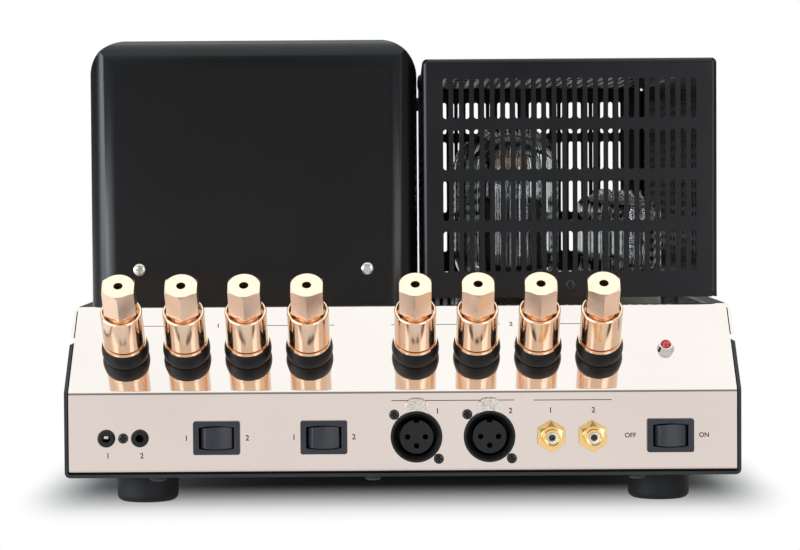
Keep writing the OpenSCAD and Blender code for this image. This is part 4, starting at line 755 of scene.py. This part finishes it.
ambient_grey = 0.7
dark_up_to = 0.05
white_from = 0.7
dark_strength = 0.1
world = bpy.data.worlds.new("studio")
bpy.context.scene.world = world
world.use_nodes = True
tree = world.node_tree
ambient = tree.nodes["Background"]
ambient.inputs["Color"].default_value = (ambient_grey, ambient_grey, ambient_grey, 1)
surround = tree.nodes.new("ShaderNodeBackground")
surround.inputs["Color"].default_value = (1, 1, 1, 1)
ray = tree.nodes.new("ShaderNodeTexCoord")
axes = tree.nodes.new("ShaderNodeSeparateXYZ")
rise = tree.nodes.new("ShaderNodeMapRange")
rise.interpolation_type = "SMOOTHSTEP"
rise.inputs["From Min"].default_value = dark_up_to
rise.inputs["From Max"].default_value = white_from
rise.inputs["To Min"].default_value = dark_strength
tree.links.new(ray.outputs["Generated"], axes.inputs["Vector"])
tree.links.new(axes.outputs["Z"], rise.inputs["Value"])
white_share = larger(tree, seen_directly(tree), mirrored_twice(tree))
tree.links.new(larger(tree, white_share, rise.outputs["Result"]), surround.inputs["Strength"])
choice = tree.nodes.new("ShaderNodeMixShader")
tree.links.new(seen_or_mirrored(tree), choice.inputs["Fac"])
tree.links.new(ambient.outputs["Background"], choice.inputs[1])
tree.links.new(surround.outputs["Background"], choice.inputs[2])
tree.links.new(choice.outputs["Shader"], tree.nodes["World Output"].inputs["Surface"])


def studio_sheet(name, material, half_x, half_y, plane):
    """A flat sheet that belongs to the studio, not to the object."""
    form = bmesh.new()
    bmesh.ops.create_grid(form, x_segments=1, y_segments=1, size=1)
    bmesh.ops.scale(form, verts=form.verts[:], vec=(half_x, half_y, 1))
    bmesh.ops.transform(form, verts=form.verts[:], matrix=plane)
    mesh = bpy.data.meshes.new(name)
    form.to_mesh(mesh)
    form.free()
    mesh.materials.append(material)
    sheet = bpy.data.objects.new(name, mesh)
    bpy.context.scene.collection.objects.link(sheet)
    return sheet


floor_half = 4
floor_gap = 0.1 * MM
# Near the object the floor is grey paper, a painted shadow that fades to white emission away from the
# footprint. The paper also takes the traced shadow.
painted_shadow_inset = Vector((6, 100, 0)) * MM
painted_shadow_reach = Vector((38, 150, 1)) * MM
painted_shadow_paper_grey = 0.3
floor_white = bpy.data.materials.new("floor_white")
floor_white.use_nodes = True
tree = floor_white.node_tree
links = tree.links
paper = tree.nodes["Principled BSDF"]
paper.inputs["Base Color"].default_value = (painted_shadow_paper_grey, painted_shadow_paper_grey, painted_shadow_paper_grey, 1)
paper.inputs["Roughness"].default_value = 0.9
paper.inputs["Specular IOR Level"].default_value = 0
place = tree.nodes.new("ShaderNodeTexCoord")
away = [tree.nodes.new("ShaderNodeVectorMath") for _ in range(5)]
for node, operation in zip(away, ("ABSOLUTE", "SUBTRACT", "MAXIMUM", "DIVIDE", "LENGTH")):
    node.operation = operation
away[1].inputs[1].default_value = (shell_high - shell_low) / 2 - painted_shadow_inset
away[2].inputs[1].default_value = (0, 0, 0)
away[3].inputs[1].default_value = painted_shadow_reach
links.new(place.outputs["Object"], away[0].inputs[0])
for node, following in zip(away, away[1:]):
    links.new(node.outputs["Vector"], following.inputs[0])
# The fade from grey paper to white emission is the edge of the painted shadow.
fade = tree.nodes.new("ShaderNodeMapRange")
fade.interpolation_type = "SMOOTHSTEP"
links.new(away[4].outputs["Value"], fade.inputs["Value"])
share = tree.nodes.new("ShaderNodeMath")
share.operation = "MULTIPLY"
links.new(fade.outputs["Result"], share.inputs[0])
links.new(seen_or_mirrored(tree), share.inputs[1])
white = tree.nodes.new("ShaderNodeEmission")
white.inputs["Strength"].default_value = 1
choice = tree.nodes.new("ShaderNodeMixShader")
links.new(share.outputs["Value"], choice.inputs["Fac"])
links.new(paper.outputs["BSDF"], choice.inputs[1])
links.new(white.outputs["Emission"], choice.inputs[2])
links.new(choice.outputs["Shader"], tree.nodes["Material Output"].inputs["Surface"])
studio_sheet("floor", floor_white, floor_half, floor_half, Matrix.Translation((0, 0, -floor_gap)))

flag_strength = 0.3
flag_half_w = 0.6
flag_half_h = 0.7
flag_distance = 2.2
flag_height = 0.8
flag_black = bpy.data.materials.new("flag_black")
flag_black.use_nodes = True
tree = flag_black.node_tree
tree.nodes.remove(tree.nodes["Principled BSDF"])
glow = tree.nodes.new("ShaderNodeEmission")
tree.links.new(between(flag_black, mirrored_twice(tree), flag_strength, 1), glow.inputs["Strength"])
tree.links.new(glow.outputs["Emission"], tree.nodes["Material Output"].inputs["Surface"])
behind_camera = Matrix.Translation((0, -flag_distance, flag_height)) @ upright
flag = studio_sheet("flag", flag_black, flag_half_w, flag_half_h, behind_camera)
flag.visible_camera = False
flag.visible_diffuse = False
flag.visible_shadow = False
flag.visible_transmission = False

light_share_mirrored_twice = 0.2


def soft_light(name, width, height, radiance, colour, place, aim):
    """A rectangular light of even brightness at a place, turned to a point that it shines at."""
    light = bpy.data.lights.new(name, "AREA")
    light.shape = "RECTANGLE"
    light.size = width
    light.size_y = height
    light.energy = radiance * math.pi * width * height
    light.color = colour
    light.use_nodes = True
    tree = light.node_tree
    strength = between(light, mirrored_twice(tree), 1, light_share_mirrored_twice)
    tree.links.new(strength, tree.nodes["Emission"].inputs["Strength"])
    lamp = bpy.data.objects.new(name, light)
    lamp.location = place
    lamp.rotation_euler = (Vector(aim) - Vector(place)).to_track_quat("-Z", "Y").to_euler()
    lamp.visible_camera = False
    bpy.context.scene.collection.objects.link(lamp)


soft_light("overhead", 3.2, 3.2, 0.47, (0.7, 0.95, 1.0), (0, 0, 1.55), (0, 0, 0))
soft_light("left_box", 1.3, 0.5, 9.5, (0.84, 0.92, 1.0), (-1.55, -0.95, 0.27), (-0.15, -0.15, 0.15))
soft_light("left_fill", 0.9, 0.5, 5.0, (0.88, 0.95, 1.0), (-1.1, -1.5, 0.27), (-0.15, -0.15, 0.15))
soft_light("right_box", 0.7, 0.5, 4.8, (0.9, 0.95, 1.0), (0.85, -1.55, 0.27), (0, -0.15, 0.15))

camera_side = 1.7 * MM
camera_distance = 1137 * MM
camera_height = 145.6 * MM
camera_data = bpy.data.cameras.new("camera")
camera_data.sensor_width = 36
camera_data.lens = 113.94
camera_data.clip_end = 100
camera = bpy.data.objects.new("camera", camera_data)
camera.location = (camera_side, front_y - camera_distance, camera_height)
yaw, pitch, roll = math.radians(-0.1245), math.radians(-2.05), math.radians(-0.367)
ahead = Vector((math.sin(yaw) * math.cos(pitch), math.cos(yaw) * math.cos(pitch), math.sin(pitch)))
turn = ahead.to_track_quat("-Z", "Y").to_matrix() @ Matrix.Rotation(roll, 3, "Z")
camera.rotation_euler = turn.to_euler()
bpy.context.scene.collection.objects.link(camera)
bpy.context.scene.camera = camera
bpy.context.scene.view_settings.view_transform = "Standard"
